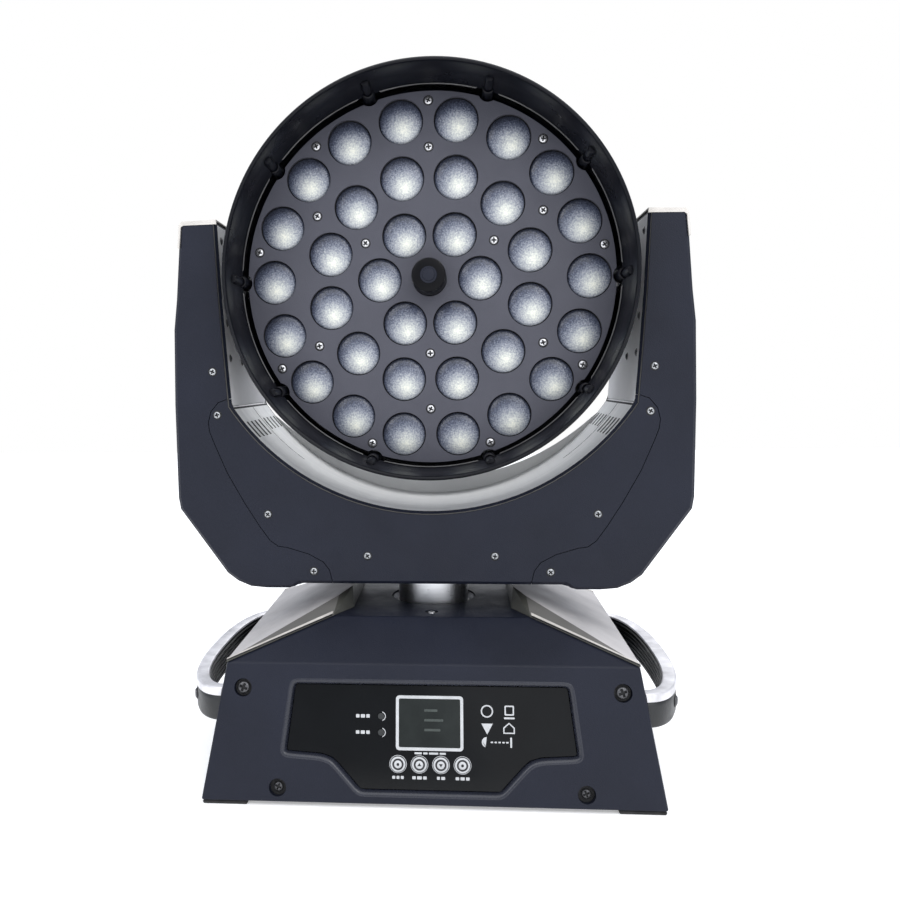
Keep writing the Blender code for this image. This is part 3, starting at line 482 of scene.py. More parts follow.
def bezel():
    inner = [(143.2, -79.3), (142.7, -77.5), (141.8, -62.0), (140.7, -41.5), (140.0, -40.4), (139.9, -39.0),
             (140.5, -38.0), (143.2, -37.2), (143.2, -16.6)]  # fmt: skip
    outer = [(146.0, -16.6), (146.0, -77.6), (145.8, -78.7), (145.2, -79.6), (144.4, -80.0), (143.7, -79.8)]
    ring = bmesh.new()
    merge(ring, turned([(r, -y) for r, y in outer + inner], 180), head_axis())
    finish_piece("bezel_shell", ring, "head", "bezel_black", ("bezel_ring",))


def bezel_bosses():
    """A hollow boss for each fixing screw, and the rib that runs forward from it."""
    boss = [(0, 40.6), (2.7, 40.6), (2.9, 43.2), (3.6, 43.7), (4.3, 43.2), (4.6, 42.0), (4.7, 20.0), (0, 20.0)]
    rib = [(0, 40.2), (3.6, 40.2), (3.5, 61.5), (2.8, 64.0), (0, 64.6)]
    every = bmesh.new()
    spots = []
    for i, (x, z) in enumerate(ring_places(BOSS_COUNT, 0, BOSS_RING_R)):
        merge(every, turned(boss, 28), head_axis(x, z))
        spots.append((head_axis(x, z) @ Matrix.Translation((0, 0, 40.7)), 31.0 * i))
    finish_piece("bezel_bosses", every, "head", "bezel_black")
    ribs = bmesh.new()
    for x, z in ring_places(BOSS_COUNT, 0, RIB_RING_R):
        merge(ribs, turned(rib, 24), head_axis(x, z))
    finish_piece("bezel_ribs", ribs, "head", "bezel_black")
    screw_set("bezel_boss_screws", spots, 2.5, 1.2, "head", "screw_dark")


def ring_section(section, radius, turn, height):
    """A small outline, placed at a turn round a ring."""
    return [((radius + a) * cos(turn), (radius + a) * sin(turn), height + b) for a, b in section]


def bezel_lip():
    """A light bead at the back of the bezel's cone, its lighter colour a painted highlight along the lip,
    broken at each boss.
    """
    every = bmesh.new()
    section = circle(0.6, 8)
    pitch, gap, steps = 360 / BOSS_COUNT, 2.4, 24
    for i in range(BOSS_COUNT):
        start, stop = radians(i * pitch + gap), radians((i + 1) * pitch - gap)
        loops = []
        for k in range(steps + 1):
            turn = start + (stop - start) * k / steps
            lift = 2.4 if k in (0, steps) else 0.0  # the ends turn outwards beside the boss
            loops.append(ring_section(section, LIP_R + lift, turn, 39.9))
        merge(every, loft(loops), head_axis())
    finish_piece("bezel_lip", every, "head", "bezel_lip_highlight")


def lens_plate():
    """The black plate with a hole for each lens and a scallop round each boss."""
    plate = prism(circle(PLATE_R, 180), 0.0, PLATE_FRONT * -1 + PLATE_BACK)
    tools = bmesh.new()
    for x, z in lens_places():
        merge(tools, prism(circle(LENS_HOLE_R, 48, x, z - TILT_Z), -5, 10))
    for x, z in ring_places(BOSS_COUNT, 0, SCALLOP_RING_R):
        merge(tools, prism(circle(SCALLOP_R, 32, x, z - TILT_Z, 0.1), -5, 10))
    merge(tools, prism(circle(HUB_R + 0.3, 48), -5, 10))
    plate = carved(plate, tools, 0.35)
    made = bmesh.new()
    merge(made, plate, head_axis() @ Matrix.Translation((0, 0, -PLATE_BACK)))
    finish_piece("lens_mask", made, "zoom_carriage", "plate_black", ("lens_plate",), 15.0)


def dome(radius, edge_y, top_y, x, z, layer_bm, layer):
    """One lens cap, with its map from -1 to 1."""
    rings, steps = 12, 40
    loops = []
    for k in range(rings):
        share = cos(pi / 2 * k / rings)
        height = edge_y + (top_y - edge_y) * (1 - share**2) ** 0.75
        turns = [2 * pi * i / steps for i in range(steps)]
        loops.append([(radius * share * cos(t), radius * share * sin(t), height) for t in turns])
    made = [[layer_bm.verts.new((x + a, y, z + b)) for a, b, y in loop] for loop in loops]
    tip = layer_bm.verts.new((x, top_y, z))
    back = [layer_bm.verts.new((x + a, edge_y + 3.2, z + b)) for a, b, _ in loops[0]]
    faces = []
    for low, high in zip([back] + made, made):
        for i in range(steps):
            j = (i + 1) % steps
            faces.append(layer_bm.faces.new((low[i], low[j], high[j], high[i])))
    for i in range(steps):
        faces.append(layer_bm.faces.new((made[-1][i], made[-1][(i + 1) % steps], tip)))
    faces.append(layer_bm.faces.new(back))
    for face in faces:
        for loop in face.loops:
            here = loop.vert.co
            loop[layer].uv = ((here.x - x) / radius, (here.z - z) / radius)


def lenses():
    bm = bmesh.new()
    layer = bm.loops.layers.uv.new("lens")
    for x, z in lens_places():
        dome(15.9, -29.3, -33.4, x, z, bm, layer)
    finish_piece("lens_caps", bm, "zoom_carriage", "lens_acrylic", ("lens_array",), 60.0)
    # painted shade: a very dark ring behind the plate, seen in the gap round each lens
    collars = bmesh.new()
    collar = [(15.6, 25.4), (17.4, 25.4), (17.4, 29.2), (16.3, 29.2), (15.9, 28.6)]
    for x, z in lens_places():
        merge(collars, turned(collar, 40), head_axis(x, z))
    finish_piece("lens_gap_shades", collars, "zoom_carriage", "recess_dark")


def hub():
    profile = [(0, 63.5), (3.6, 63.5), (4.0, 63.1), (4.1, 62.2), (10.6, 62.1), (11.7, 61.6), (12.3, 60.4),
               (12.3, 36.0), (12.3, 26.0), (3.6, 26.0), (3.6, 54.0), (0, 54.0)]  # fmt: skip
    body = bmesh.new()
    merge(body, turned(profile, 64), head_axis())
    finish_piece("hub_body", body, "zoom_carriage", "hub_black", ("centre_hub",))
    tip = bmesh.new()
    cap = [(0, 62.3), (5.9, 62.2), (6.1, 62.6), (5.6, 63.0), (4.4, 62.9), (4.2, 63.5), (3.4, 63.7), (0, 63.7)]
    merge(tip, turned(cap, 40), head_axis())
    finish_piece("hub_tip", tip, "zoom_carriage", "cover_plastic")


def plate_screws():
    places = [place for ring in PLATE_SCREW_RINGS for place in ring_places(*ring)]
    raised = Matrix.Translation((0, 0, -PLATE_FRONT))
    spots = [(head_axis(x, z) @ raised, 47.0 * i) for i, (x, z) in enumerate(places)]
    screw_set("plate_screws", spots, 2.9, 1.2, "zoom_carriage", "screw_bright", well=3.7)


def rear_shell():
    """The domed rear cover, with its vents and the holes for the axles."""
    outer = [
        (146.0, REAR_SEAM_Y), (146.0, 22.0), (143.0, 34.0), (134.0, 52.0), (112.0, 76.0), (104.0, 80.0),
    ]  # fmt: skip
    inner = [(r - 2.6, y if y < 0 else y - 1.6) for r, y in outer]
    profile = outer + [(44.0, 84.0), (44.0, 81.6)] + list(reversed(inner))
    vents = bmesh.new()
    for i in range(VENT_COUNT):
        spin = Matrix.Rotation(2 * pi * (i + 0.5) / VENT_COUNT, 4, "Z")
        merge(vents, prism(rounded_box(62.0, 92.0, -3.5, 3.5, 2.2, 4), -100.0, -60.0), spin)
    axle = prism(circle(AXLE_HOLE_R, 32), -160.0, 160.0)
    merge(vents, axle, Matrix.Rotation(pi / 2, 4, "Y"))
    axle.free()
    shell = carved(turned([(r, -y) for r, y in profile], 160), vents, 0.4)
    made = bmesh.new()
    merge(made, shell, head_axis())
    finish_piece("rear_shell", made, "head", "cover_plastic", ("head_rear_cover",), 38.0)


def rear_details():
    """Wire guard over the fan and the screws of the rear cover."""
    guard = bmesh.new()
    section = circle(0.75, 8)
    for radius in (9.0, 17.0, 25.0, 33.0, 41.0):
        loops = [ring_section(section, radius, 2 * pi * i / 64, -GUARD_Y) for i in range(64)]
        merge(guard, loft(loops, closed=True), head_axis())
    for i in range(6):
        spin = head_axis() @ Matrix.Rotation(pi * i / 3 + 0.3, 4, "Z")
        spoke = spin @ Matrix.Translation((0, 0, -GUARD_Y)) @ Matrix.Rotation(pi / 2, 4, "Y")
        merge(guard, prism(section, 8.0, 43.6), spoke)
    finish_piece("fan_guard", guard, "head", "screw_dark")
    spots = []
    radial, along = REAR_OUT
    for i, (x, z) in enumerate(ring_places(8, 22.5, REAR_SCREW_R)):
        out = Vector((x / REAR_SCREW_R * radial, along, (z - TILT_Z) / REAR_SCREW_R * radial))
        spots.append((facing_seat((x, REAR_SCREW_Y, z), out), 29.0 * i))
    screw_set("rear_cover_screws", spots, 3.2, 1.6, "head", "screw_dark", well=4.2)


# ---------------------------------------------------------------- yoke


def yoke_screws():
    points = [(158.6, 296.0), (156.0, 264.3), (119.8, 190.8), (86.3, 148.5), (46.4, 160.0)]
    front = mirrored_spots(points, lambda x, z: head_axis(x, z) @ Matrix.Translation((0, 0, YOKE_Y)))
    turn_back = Matrix.Rotation(pi, 4, "Z")
    rear = [(turn_back @ matrix, turn) for matrix, turn in front]
    screw_set("yoke_screws", front + rear, 2.6, 1.1, "yoke", "steel_plate", well=3.3)


def saddle_point(angle, radius):
    """Point of the saddle's arc at an angle from straight down."""
    return radius * sin(radians(angle)), SADDLE_Z - radius * cos(radians(angle))


def saddle_section(angle, rise, y0, y1):
    """Cross-section of a strip at an angle, from a little under the saddle's face to rise above it."""
    top, low = saddle_point(angle, SADDLE_R - rise), saddle_point(angle, SADDLE_R + 0.5)
    return [(top[0], y0, top[1]), (top[0], y1, top[1]), (low[0], y1, low[1]), (low[0], y0, low[1])]


def saddle_strip(every, start, stop, y0, y1, steps, depth=0.16):
    """A thin strip on the saddle between two angles and two places along Y."""
    loops = []
    for i in range(steps + 1):
        angle = start + (stop - start) * i / steps
        loops.append(saddle_section(angle, depth, y0, y1))
    merge(every, loft(loops))


def saddle_vent_shades_and_joints():
    """Dark strips on the saddle: painted shade standing for two rows of vents at each end, with the dark joints
    beside them.
    """
    dark_strips = bmesh.new()
    for sign in (-1, 1):
        # painted shade where the vent openings are
        for i in range(4):
            saddle_strip(dark_strips, sign * 46.6, sign * 51.6, -51.5 + 13.0 * i, -47.3 + 13.0 * i, 4)
            saddle_strip(dark_strips, sign * 48.0, sign * 51.8, 8.5 + 13.0 * i, 12.3 + 13.0 * i, 4)
        saddle_strip(dark_strips, sign * 36.0, sign * 55.5, 1.6, 2.4, 24)
        saddle_strip(dark_strips, sign * 55.6, sign * 56.1, -58.3, 58.3, 1)
    finish_piece("saddle_vent_shades_and_joints", dark_strips, "yoke", "recess_dark")


def saddle_flange():
    """The saddle's rear edge, turned up most at the middle."""
    steps = 64
    loops = []
    for i in range(steps + 1):
        angle = FLANGE_HALF * (2 * i / steps - 1)
        rise = FLANGE_RISE * cos(radians(90 * angle / FLANGE_HALF)) ** 0.8 + 0.3
        loops.append(saddle_section(angle, rise, 57.0, 58.3))
    flange = bmesh.new()
    merge(flange, loft(loops))
    finish_piece("saddle_flange", flange, "yoke", "saddle_silver")


def saddle_seams():
    """Dark joint between the saddle and the covers in front of it and behind it."""
    edge = bmesh.new()
    for side in (-1, 1):
        ys = (side * 59.9, side * 58.4)
        saddle_strip(edge, -56.0, 56.0, *ys, 64, depth=0.05)
    finish_piece("saddle_seams", edge, "yoke", "recess_dark")


def inner_edge(grow):
    """Inner edge of the covers, from the left arm's top to the right arm's top."""
    arc_end = degrees(asin((145.5 + grow) / (SADDLE_R + grow)))
    half = [saddle_point(arc_end * i / 28, SADDLE_R + grow) for i in range(29)]
    half += [(147.5 + grow, 297.0), (151.0 + grow, 348.0), (153.5 + grow, 403.0)]
    return [(-x, z) for x, z in reversed(half[1:])] + half


def cover_lip():
    """Light bead where the front and rear covers turn over the edge beside the saddle."""
    every = bmesh.new()
    low, high = inner_edge(1.3), inner_edge(2.1)
    for side in (-1, 1):
        loops = []
        for (ax, az), (bx, bz) in zip(low, high):
            loops.append([
                (ax, side * 61.1, az), (bx, side * 62.55, bz), (bx, side * 61.9, bz), (ax, side * 60.6, az),
            ])  # fmt: skip
        merge(every, loft(loops))
    finish_piece("cover_lip", every, "yoke", "lip_grey")


def arm_tops():
    """Light beige strips on the tops of the arms, turned down over the front and rear edges: a painted
    highlight where the rounded edges catch light from above.
    """
    caps = bmesh.new()
    for sign in (-1, 1):
        top = [
            (153.2, 405.7), (178.6, 404.9), (180.9, 402.2), (181.3, 398.0), (180.6, 397.8), (180.0, 401.6),
            (178.0, 403.9), (153.2, 404.8),
        ]  # fmt: skip
        rim = [
            (153.2, 405.7), (178.6, 404.9), (180.9, 402.2), (182.2, 386.0), (180.9, 385.8), (179.4, 400.8),
            (177.6, 402.0), (153.2, 402.4),
        ]  # fmt: skip
        for outline, low, high in ((top, -60.6, 60.6), (rim, -HIGHLIGHT_REACH, -60.2), (rim, 60.2, HIGHLIGHT_REACH)):
            loops = [[(sign * x, y, z) for x, z in outline] for y in (low, high)]
            merge(caps, softened(loft(loops), 0.25, 1, 40))
    finish_piece("arm_edge_highlights", caps, "yoke", "beige_strip_and_highlight")


def inner_arm_screws():
    """Screws of the inner arm covers, which lean back in two stages."""
    places = ((-50, 306), (-14, 304), (30, 304), (-50, 332), (-50, 392), (50, 392), (50, 330))
    spots = []
    for sign in (-1, 1):
        for i, (y, z) in enumerate(places):
            lean = 0.069 if z < 348 else 0.045
            x = 147.5 + (z - 297.0) * 0.0687 if z < 348 else 151.0 + (z - 348.0) * 0.0435
            out = Vector((-sign, 0, lean)).normalized()
            spots.append((facing_seat((sign * x, y, z), out), 41.0 * i))
    screw_set("inner_arm_screws", spots, 2.3, 1.0, "yoke", "screw_dark", well=2.9)


# ---------------------------------------------------------------- base


def smooth_outline(outline, cuts=2):
    """Corner cutting, for rounded corners."""
    for _ in range(cuts):
        cut = []
        for i, (x, y) in enumerate(outline):
            nx, ny = outline[(i + 1) % len(outline)]
            span = hypot(nx - x, ny - y)
            share = min(0.25, 2.2 / max(span, 0.01))
            cut.append((x + (nx - x) * share, y + (ny - y) * share))
            cut.append((nx - (nx - x) * share, ny - (ny - y) * share))
        outline = cut
    return outline


def offset(outline, distance):
    """An anticlockwise outline moved outwards."""
    moved = []
    for i, point in enumerate(outline):
        here = Vector(point)
        first = (here - Vector(outline[i - 1])).normalized()
        second = (Vector(outline[(i + 1) % len(outline)]) - here).normalized()
        middle = Vector((first.y + second.y, -first.x - second.x)).normalized()
        moved.append(tuple(here + middle * distance / max(middle.dot(Vector((first.y, -first.x))), 0.5)))
    return moved


def recess_outline():
    half = [(0.0, 9.0), (48.5, 9.0), (64.0, 25.5), (68.5, 29.5), (75.0, 31.5), (99.0, 33.0), (101.5, 36.0),
            (96.0, 79.5), (93.0, 82.2), (0.0, 82.2)]  # fmt: skip
    whole = half + [(-x, z) for x, z in reversed(half) if x > 1e-6]
    return [(x, up_face(z)) for x, z in whole]


def recess_edge():
    """Rounded edge of the display recess, rolling from the face into the recess."""
    outline = smooth_outline(recess_outline(), 2)
    section = (
        (1.9, -0.35), (1.2, 0.1), (0.2, 0.06), (-0.9, -0.5), (-1.7, -1.4), (-2.2, -2.8), (-2.6, -6.2),
        (0.9, -3.0),
    )  # fmt: skip
    loops = [[(x, v, w) for x, v in offset(outline, grow)] for grow, w in section]
    bm = bmesh.new()
    merge(bm, loft(loops, closed=True), face_matrix(-1))
    finish_piece("recess_edge", bm, "base", "edge_satin", (), 60.0)


def flat_ring(outline, inner, low, high):
    """A flat closed band between two outlines with the same number of points."""
    layers = ((outline, low), (outline, high), (inner, high), (inner, low))
    return loft([[(x, y, w) for x, y in loop] for loop, w in layers], closed=True)


def rounded_box(x0, x1, y0, y1, radius, steps=6):
    """Outline of a rectangle with rounded corners, anticlockwise."""
    corners = (
        (x1 - radius, y0 + radius, -90), (x1 - radius, y1 - radius, 0),
        (x0 + radius, y1 - radius, 90), (x0 + radius, y0 + radius, 180),
    )  # fmt: skip
    points = []
    for cx, cy, start in corners:
        for i in range(steps + 1):
            turn = radians(start + 90 * i / steps)
            points.append((cx + radius * cos(turn), cy + radius * sin(turn)))
    return points


def display_frame():
    x0, x1, z0, z1 = DISPLAY
    v0, v1 = up_face(z0), up_face(z1)
    outer = rounded_box(x0 - 0.6, x1 + 0.6, v0 - 0.6, v1 + 0.6, 2.4)
    inner = rounded_box(x0 + 1.4, x1 - 1.4, v0 + 1.4, v1 - 1.4, 1.0)
    bm = bmesh.new()
    merge(bm, softened(flat_ring(outer, inner, -4.9, -4.05), 0.15, 1, 40), face_matrix(-1))
    finish_piece("display_frame", bm, "base", "mark_white")
    rows = bmesh.new()
    for i, width in enumerate((9.0, 13.0, 11.0)):
        v = v1 - 10.0 - 6.5 * i
        merge(rows, prism(rounded_box(-4.0, -4.0 + width, v, v + 1.6, 0.4, 2), -4.45, -4.33))
    finish_piece("display_rows", transformed(rows, face_matrix(-1)), "base", "display_ink")


def transformed(bm, matrix):
    bmesh.ops.transform(bm, matrix=matrix, verts=bm.verts)
    return bm


def dashes(every, x, z, widths, height=1.5):
    """A row of plain bars centred on x, where the real panel has a word."""
    gap = 0.9
    left = x - (sum(widths) + gap * (len(widths) - 1)) / 2
    v = up_face(z)
    for width in widths:
        outline = rounded_box(left, left + width, v - height / 2, v + height / 2, 0.35, 2)
        merge(every, prism(outline, PANEL_TOP - 0.1, PANEL_TOP + 0.12))
        left += width + gap


def crescent(x, v, low, high):
    """The printed arc on one side of an indicator light."""
    outer = [(x + 3.2 * cos(radians(t)), v + 3.2 * sin(radians(t))) for t in range(-75, 76, 15)]
    inner = [(x + 0.3 + 2.4 * cos(radians(t)), v + 2.5 * sin(radians(t))) for t in range(75, -76, -15)]
    return prism(outer + inner, low, high)


def icons(every, low, high):
    """Five plain shapes right of the display: ring, barred square, triangle, house, and disc with a line."""
    v = up_face(63.4)
    merge(every, flat_ring(circle(4.2, 32, 38.7, v), circle(3.3, 32, 38.7, v), low, high))
    square = rounded_box(50.6, 57.0, v - 2.6, v + 4.0, 0.8)
    merge(every, flat_ring(square, rounded_box(51.5, 56.1, v - 1.7, v + 3.1, 0.5), low, high))
    merge(every, prism(rounded_box(50.2, 57.4, v - 5.0, v - 3.8, 0.4, 2), low, high))
    v = up_face(52.2)
    merge(every, prism([(34.8, v + 3.3), (38.7, v - 3.9), (42.6, v + 3.3)], low, high))
    roof = [(49.6, v - 3.2), (57.4, v - 3.2), (57.4, v + 0.8), (53.5, v + 4.2), (49.6, v + 0.8)]
    merge(every, flat_ring(roof, offset(roof, -0.8), low, high))
    v = up_face(43.4)
    arc = [radians(t) for t in range(0, 181, 15)]
    merge(every, prism([(37.6, v - 3.4)] + [(38.4 - 3.4 * sin(t), v - 3.4 * cos(t)) for t in arc], low, high))
    for x in (41.0, 43.6, 46.2, 48.8, 51.4):
        merge(every, prism(rounded_box(x, x + 1.7, v - 0.5, v + 0.5, 0.3, 2), low, high))
    merge(every, prism(rounded_box(54.2, 55.4, v - 3.4, v + 3.4, 0.4, 2), low, high))


def panel_marks():
    """Print on the panel: plain bars for words, a crescent by each light and a ring round each button."""
    low, high = PANEL_TOP - 0.1, PANEL_TOP + 0.12
    every = bmesh.new()
    for z in LIGHT_ZS:
        dashes(every, LIGHT_X - 12.6, z, (2.4, 2.9, 2.4), 2.3)
        merge(every, crescent(LIGHT_X, up_face(z), low, high))
    dashes(every, 0.0, 35.4, (5.0, 3.0, 6.4, 4.2), 1.3)
    words = ((2.0, 2.0, 2.0), (2.4, 3.2, 2.4), (2.0, 2.6), (2.4, 2.8, 2.4))
    for x, widths in zip(BUTTON_XS, words):
        dashes(every, x, 19.6, widths, 2.0)
        v = up_face(BUTTON_Z)
        merge(every, flat_ring(circle(5.95, 40, x, v), circle(5.6, 40, x, v), low, PANEL_TOP + 0.14))
    icons(every, low, high)
    finish_piece("panel_marks", transformed(every, face_matrix(-1)), "base", "mark_white")


def button_faces():
    """The light disc on each button, with a dot or an arrow."""
    front = face_matrix(-1)
    v = up_face(BUTTON_Z)
    arrow = [(-1.3, -0.8), (1.3, -0.8), (0.0, 1.3)]
    symbols = (circle(0.95, 20), arrow, [(-x, -y) for x, y in arrow], circle(0.95, 20))
    rim = [(3.85, -0.6), (5.05, -0.6), (5.1, -0.2), (4.7, 0.12), (4.1, 0.16), (3.85, 0.0)]
    for i, (x, symbol) in enumerate(zip(BUTTON_XS, symbols)):
        seat = front @ Matrix.Translation((x, v, BUTTON_TOP))
        disc = turned([(0, -0.3), (2.6, -0.3), (2.6, 0.1), (2.3, 0.28), (0, 0.34)], 32)
        merge(disc, turned(rim, 40))
        sign = transformed(prism(symbol, 0.1, 0.42), seat)
        body = f"button_{i + 1}"
        finish_piece(f"button_face_{i + 1}", transformed(disc, seat), body, "mark_white")
        finish_piece(f"button_symbol_{i + 1}", sign, body, "recess_dark")


def base_screws():
    front = face_matrix(-1)
    tall = mirrored_spots([(129.5, 77.0)], lambda x, z: front @ Matrix.Translation((x, up_face(z), -3.2)))
    screw_set("base_face_screws", tall, 4.4, 2.2, "base", "screw_dark", well=5.6)
    deep = mirrored_spots([(104.0, 12.2)], lambda x, z: front @ Matrix.Translation((x, up_face(z), -4.7)))
    screw_set("base_foot_screws", deep, 3.4, 1.6, "base", "screw_dark", well=5.6)
    dimple = [(Matrix.Translation((0, -55, 116.1)), 20.0)]
    screw_set("plateau_screw", dimple, 2.7, 1.0, "base", "screw_bright", "hex", well=4.9)


def shaft_well():
    """Dark seal inside the hole in the plateau, and the bright sleeve that turns with the pan shaft."""
    seal = [(22.6, 110.0), (32.6, 110.0), (32.8, 115.6), (31.8, 115.9), (29.0, 112.6), (22.6, 112.0)]
    finish_piece("shaft_seal", turned(seal, 64), "base", "screw_dark")
    sleeve = [(22.2, 113.2), (26.6, 113.2), (SLEEVE_R, 114.0), (SLEEVE_R, SLEEVE_TOP), (22.2, SLEEVE_TOP)]
    finish_piece("shaft_sleeve", turned(sleeve, 96), "yoke", "shaft_aluminium")


def shoulder_trim():
    """A light strip and a dark joint along the front and rear edges of each shoulder cover."""
    light, dark = bmesh.new(), bmesh.new()
    for sx in (-1, 1):
        for sy in (-1, 1):
            start, stop = Vector((SHOULDER_X, SHOULDER_Y, SHOULDER_Z + 1.7)), Vector((72.0, 70.0, 118.0))
            roof_a, roof_b = Vector((0.0, -5.2, 1.5)), Vector((0.0, -9.0, 3.6))
            for target, low, high, lift in ((light, 0.10, 0.42, 0.35), (dark, -0.02, 0.07, 0.3)):
                loops = []
                for place, roof in ((start, roof_a), (stop, roof_b)):
                    a, b = place + roof * low, place + roof * high
                    up = Vector((0, 0.2, 1.0)).normalized() * lift
                    loops.append([(sx * p.x, sy * p.y, p.z) for p in (a - up, b - up, b + up, a + up)])
                merge(target, loft(loops))
    finish_piece("shoulder_strips", light, "base", "beige_strip_and_highlight")
    finish_piece("shoulder_joints", dark, "base", "recess_dark")


def bowed(reach, half, steps=56):
    """Plan of a handle: a rounded bow out from the side wall."""
    turns = [pi * (i / steps - 0.5) for i in range(steps + 1)]
    bulges = [(1 - abs(sin(t)) ** HANDLE_BOW) ** (1 / HANDLE_BOW) for t in turns]
    return [(HANDLE_X + reach * bulge, half * sin(t)) for bulge, t in zip(bulges, turns)]


def wall_x(z):
    """The housing's side wall at a height, a little inside its skin."""
    return 157.0 - (z - FOOT_H) * (157.0 - SHOULDER_X) / (SHOULDER_Z - FOOT_H) + 0.4


def swept_handle(sign, section):
    """A section of (inset, z) points swept along the bow."""
    loops = []
    layers = [(bowed(HANDLE_REACH - inset, HANDLE_HALF - inset), z) for inset, z in section]
    for k in range(len(layers[0][0])):
        loop = []
        for path, z in layers:
            x, y = path[k]
            loop.append((sign * max(x, wall_x(z)), y, z))
        loops.append(loop)
    return loft(loops)


def handles():
    """Each handle: a silver band along the top and a black grip under it, ribbed on the inside."""
    low, high = HANDLE_Z
    band = [(1.6, high), (0.5, high - 0.8), (0.1, high - 2.4), (0.2, high - 5.6), (1.4, high - 6.2),
            (4.6, high - 6.2), (5.6, high - 2.6), (9.8, high - 2.2), (10.6, high - 1.4), (10.0, high - 0.4),
            (9.0, high)]  # fmt: skip
    core = [
        (1.8, high - 6.0), (1.0, high - 7.0), (0.5, high - 9.0), (0.4, low + 3.0), (1.2, low + 0.8), (2.4, low),
        (9.0, low), (10.4, low + 0.8),
    ]  # fmt: skip
    ribs = 6
    for i in range(ribs):
        z0 = low + 1.6 + (high - low - 4.4) * i / ribs
        core += [(11.0, z0 + 0.3), (11.0, z0 + 2.0), (9.4, z0 + 2.5), (9.4, z0 + 3.0)]
    core += [(9.8, high - 2.0), (5.4, high - 2.8), (4.6, high - 6.4)]
    for sign, side in ((-1, "left"), (1, "right")):
        strap, grip = swept_handle(sign, band), swept_handle(sign, core)
        finish_piece(f"handle_band_{side}", strap, "base", "handle_metal", (f"handle_{side}",))
        finish_piece(f"handle_grip_{side}", grip, "base", "grip_rubber")


def handle_screws():
    """The screw that fixes each handle, on its outer side near its front and rear ends."""
    x, y, z = HANDLE_SCREW
    spots = []
    for sign in (-1, 1):
        for end in (-1, 1):
            out = Vector((sign * HANDLE_OUT[0], end * HANDLE_OUT[1], 0.0)).normalized()
            spots.append((facing_seat((sign * x, end * y, z), out), 25.0 * sign))
    screw_set("handle_screws", spots, 3.6, 1.4, "base", "screw_dark", well=4.4)


def rear_connectors():
    """Pins and caps in the sockets at the back of the base."""
    rear = face_matrix(1)
    middle = (16.0 + 76.0) / 2
    metal = bmesh.new()
    for x, v in ((-62.0, middle + 2.6), (-69.0, middle - 2.6), (-55.0, middle - 2.6)):
        merge(metal, prism(rounded_box(x - 1.0, x + 1.0, v - 2.2, v + 2.2, 0.5, 2), -19.8, -8.0))
    for x in (20.0, 60.0):
        for i in range(3):
            turn = radians(90 + 120 * i)
            a, b = x + 4.2 * cos(turn), middle + 4.2 * sin(turn)
            merge(metal, turned([(0, -18.8), (1.1, -18.8), (1.1, -8.6), (0.7, -8.0), (0, -7.8)], 16),
                  Matrix.Translation((a, b, 0)))  # fmt: skip
        merge(metal, flat_ring(circle(9.1, 48, x, middle), circle(8.2, 48, x, middle), -15.0, -0.9))
    finish_piece("socket_pins", transformed(metal, rear), "base", "screw_bright")
    slot = prism(rounded_box(-4.6, 4.6, -0.7, 0.7, 0.3, 2), 1.2, 5)
    cap = carved(turned([(0, -0.6), (7.0, -0.6), (6.8, 1.6), (5.6, 2.4), (0, 2.4)], 40), slot)
    cap = transformed(cap, rear @ Matrix.Translation((-24.0, middle, 0)))
    finish_piece("fuse_cap", cap, "base", "socket_plastic")
    panel_corners = ((-82, 24), (82, 24), (-82, 68), (82, 68))
    socket_corners = ((10.5, 33.5), (29.5, 58.5), (50.5, 33.5), (69.5, 58.5))
    spots = []
    for i, (x, v) in enumerate(panel_corners + socket_corners):
        deep = -3.3 if abs(x) > 75 else -1.2
        spots.append((rear @ Matrix.Translation((x, v, deep)), 33.0 * i))
    screw_set("connector_screws", spots, 2.4, 1.3, "base", "screw_bright")


# ---------------------------------------------------------------- stage


def stage():
    bm = bmesh.new()
    bmesh.ops.create_grid(bm, x_segments=24, y_segments=24, size=FLOOR_HALF)
    mesh = bpy.data.meshes.new("floor")
    bm.to_mesh(mesh)
    bm.free()
    floor = bpy.data.objects.new("floor", mesh)
    mesh.materials.append(FINISH["floor"])
    bpy.context.scene.collection.objects.link(floor)


def area_light(name, place, target, size, power):
    data = bpy.data.lights.new(name, "AREA")
    data.shape = "RECTANGLE"
    data.size, data.size_y = size
    data.energy = power
    item = bpy.data.objects.new(name, data)
    item.location = place
    item.rotation_euler = (Vector(target) - Vector(place)).to_track_quat("-Z", "Y").to_euler()
    bpy.context.scene.collection.objects.link(item)


def sun_light(name, towards, power, spread_angle):
    """A wide, soft sun, which lights the whole floor evenly."""
    data = bpy.data.lights.new(name, "SUN")
    data.energy = power
    data.angle = radians(spread_angle)
    item = bpy.data.objects.new(name, data)
    item.rotation_euler = Vector(towards).to_track_quat("Z", "Y").to_euler()
    bpy.context.scene.collection.objects.link(item)


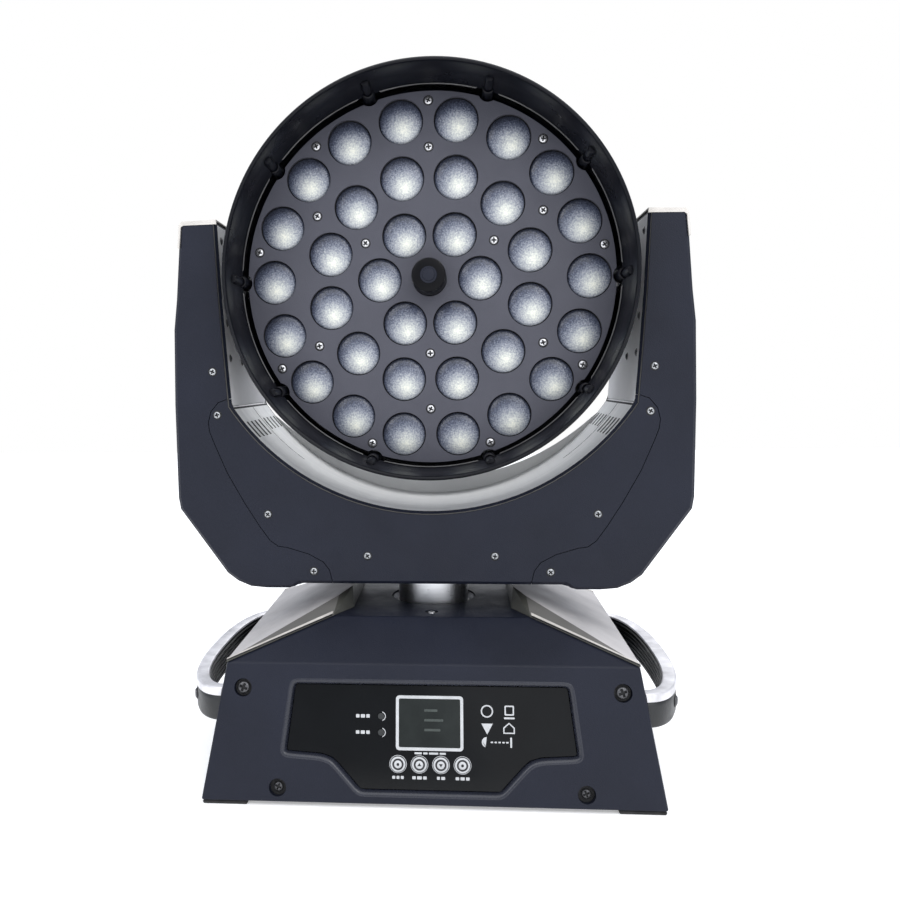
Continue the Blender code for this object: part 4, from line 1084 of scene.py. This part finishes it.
def lights():
    sun_light("overhead", (0.1, -0.35, 1.0), 1.5, 70)
    sun_light("front", (0.5, -1.0, 0.35), 0.45, 60)
    area_light("key", (0.9, -1.2, 1.25), (0, 0, 0.42), (0.5, 0.9), 5)
    area_light("fill", (-1.0, -1.1, 1.15), (0, 0, 0.42), (0.5, 0.9), 5)
    area_light("back", (0.3, 1.8, 1.3), (0, 0, 0.3), (1.6, 0.9), 8)
    world = bpy.data.worlds.new("studio")
    bpy.context.scene.world = world
    world.use_nodes = True
    tree = world.node_tree
    ground = tree.nodes["Background"]
    ground.inputs["Color"].default_value = (0.82, 0.86, 0.95, 1.0)
    ground.inputs["Strength"].default_value = 0.75
    seen = add(tree, "ShaderNodeBackground", Color=(1.0, 1.0, 1.0, 1.0), Strength=1.0)
    path = add(tree, "ShaderNodeLightPath")
    mix = add(tree, "ShaderNodeMixShader")
    tree.links.new(path.outputs["Is Camera Ray"], mix.inputs["Fac"])
    tree.links.new(ground.outputs["Background"], mix.inputs[1])
    tree.links.new(seen.outputs["Background"], mix.inputs[2])
    tree.links.new(mix.outputs["Shader"], tree.nodes["World Output"].inputs["Surface"])


def camera():
    data = bpy.data.cameras.new("camera")
    data.lens = 36.8
    data.sensor_width = 36.0
    data.shift_x = 70 / 900
    item = bpy.data.objects.new("camera", data)
    place = Matrix.Translation((0.0202, -0.7263, 0.2878))
    turn = Matrix.Rotation(radians(4.86), 4, "Z") @ Matrix.Rotation(radians(90 - 4.29), 4, "X")
    item.matrix_world = place @ turn @ Matrix.Rotation(radians(-0.73), 4, "Z")
    bpy.context.scene.collection.objects.link(item)
    bpy.context.scene.camera = item


def dress_frame():
    """Puts the finished materials on the CAD's own nodes."""
    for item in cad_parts.values():
        for slot in item.material_slots:
            name = slot.material.name.split(".")[0]
            if item.name.startswith("inner_arm_cover"):
                name = "arm_grey"
            slot.material = FINISH[name]


FINISH = make_materials()
camera()
lights()
stage()
dress_frame()
bezel()
bezel_bosses()
bezel_lip()
lens_plate()
lenses()
hub()
plate_screws()
rear_shell()
rear_details()
yoke_screws()
saddle_vent_shades_and_joints()
saddle_flange()
saddle_seams()
cover_lip()
arm_tops()
inner_arm_screws()
recess_edge()
display_frame()
panel_marks()
button_faces()
base_screws()
shaft_well()
shoulder_trim()
handles()
handle_screws()
rear_connectors()
bpy.context.scene.view_settings.view_transform = "Standard"
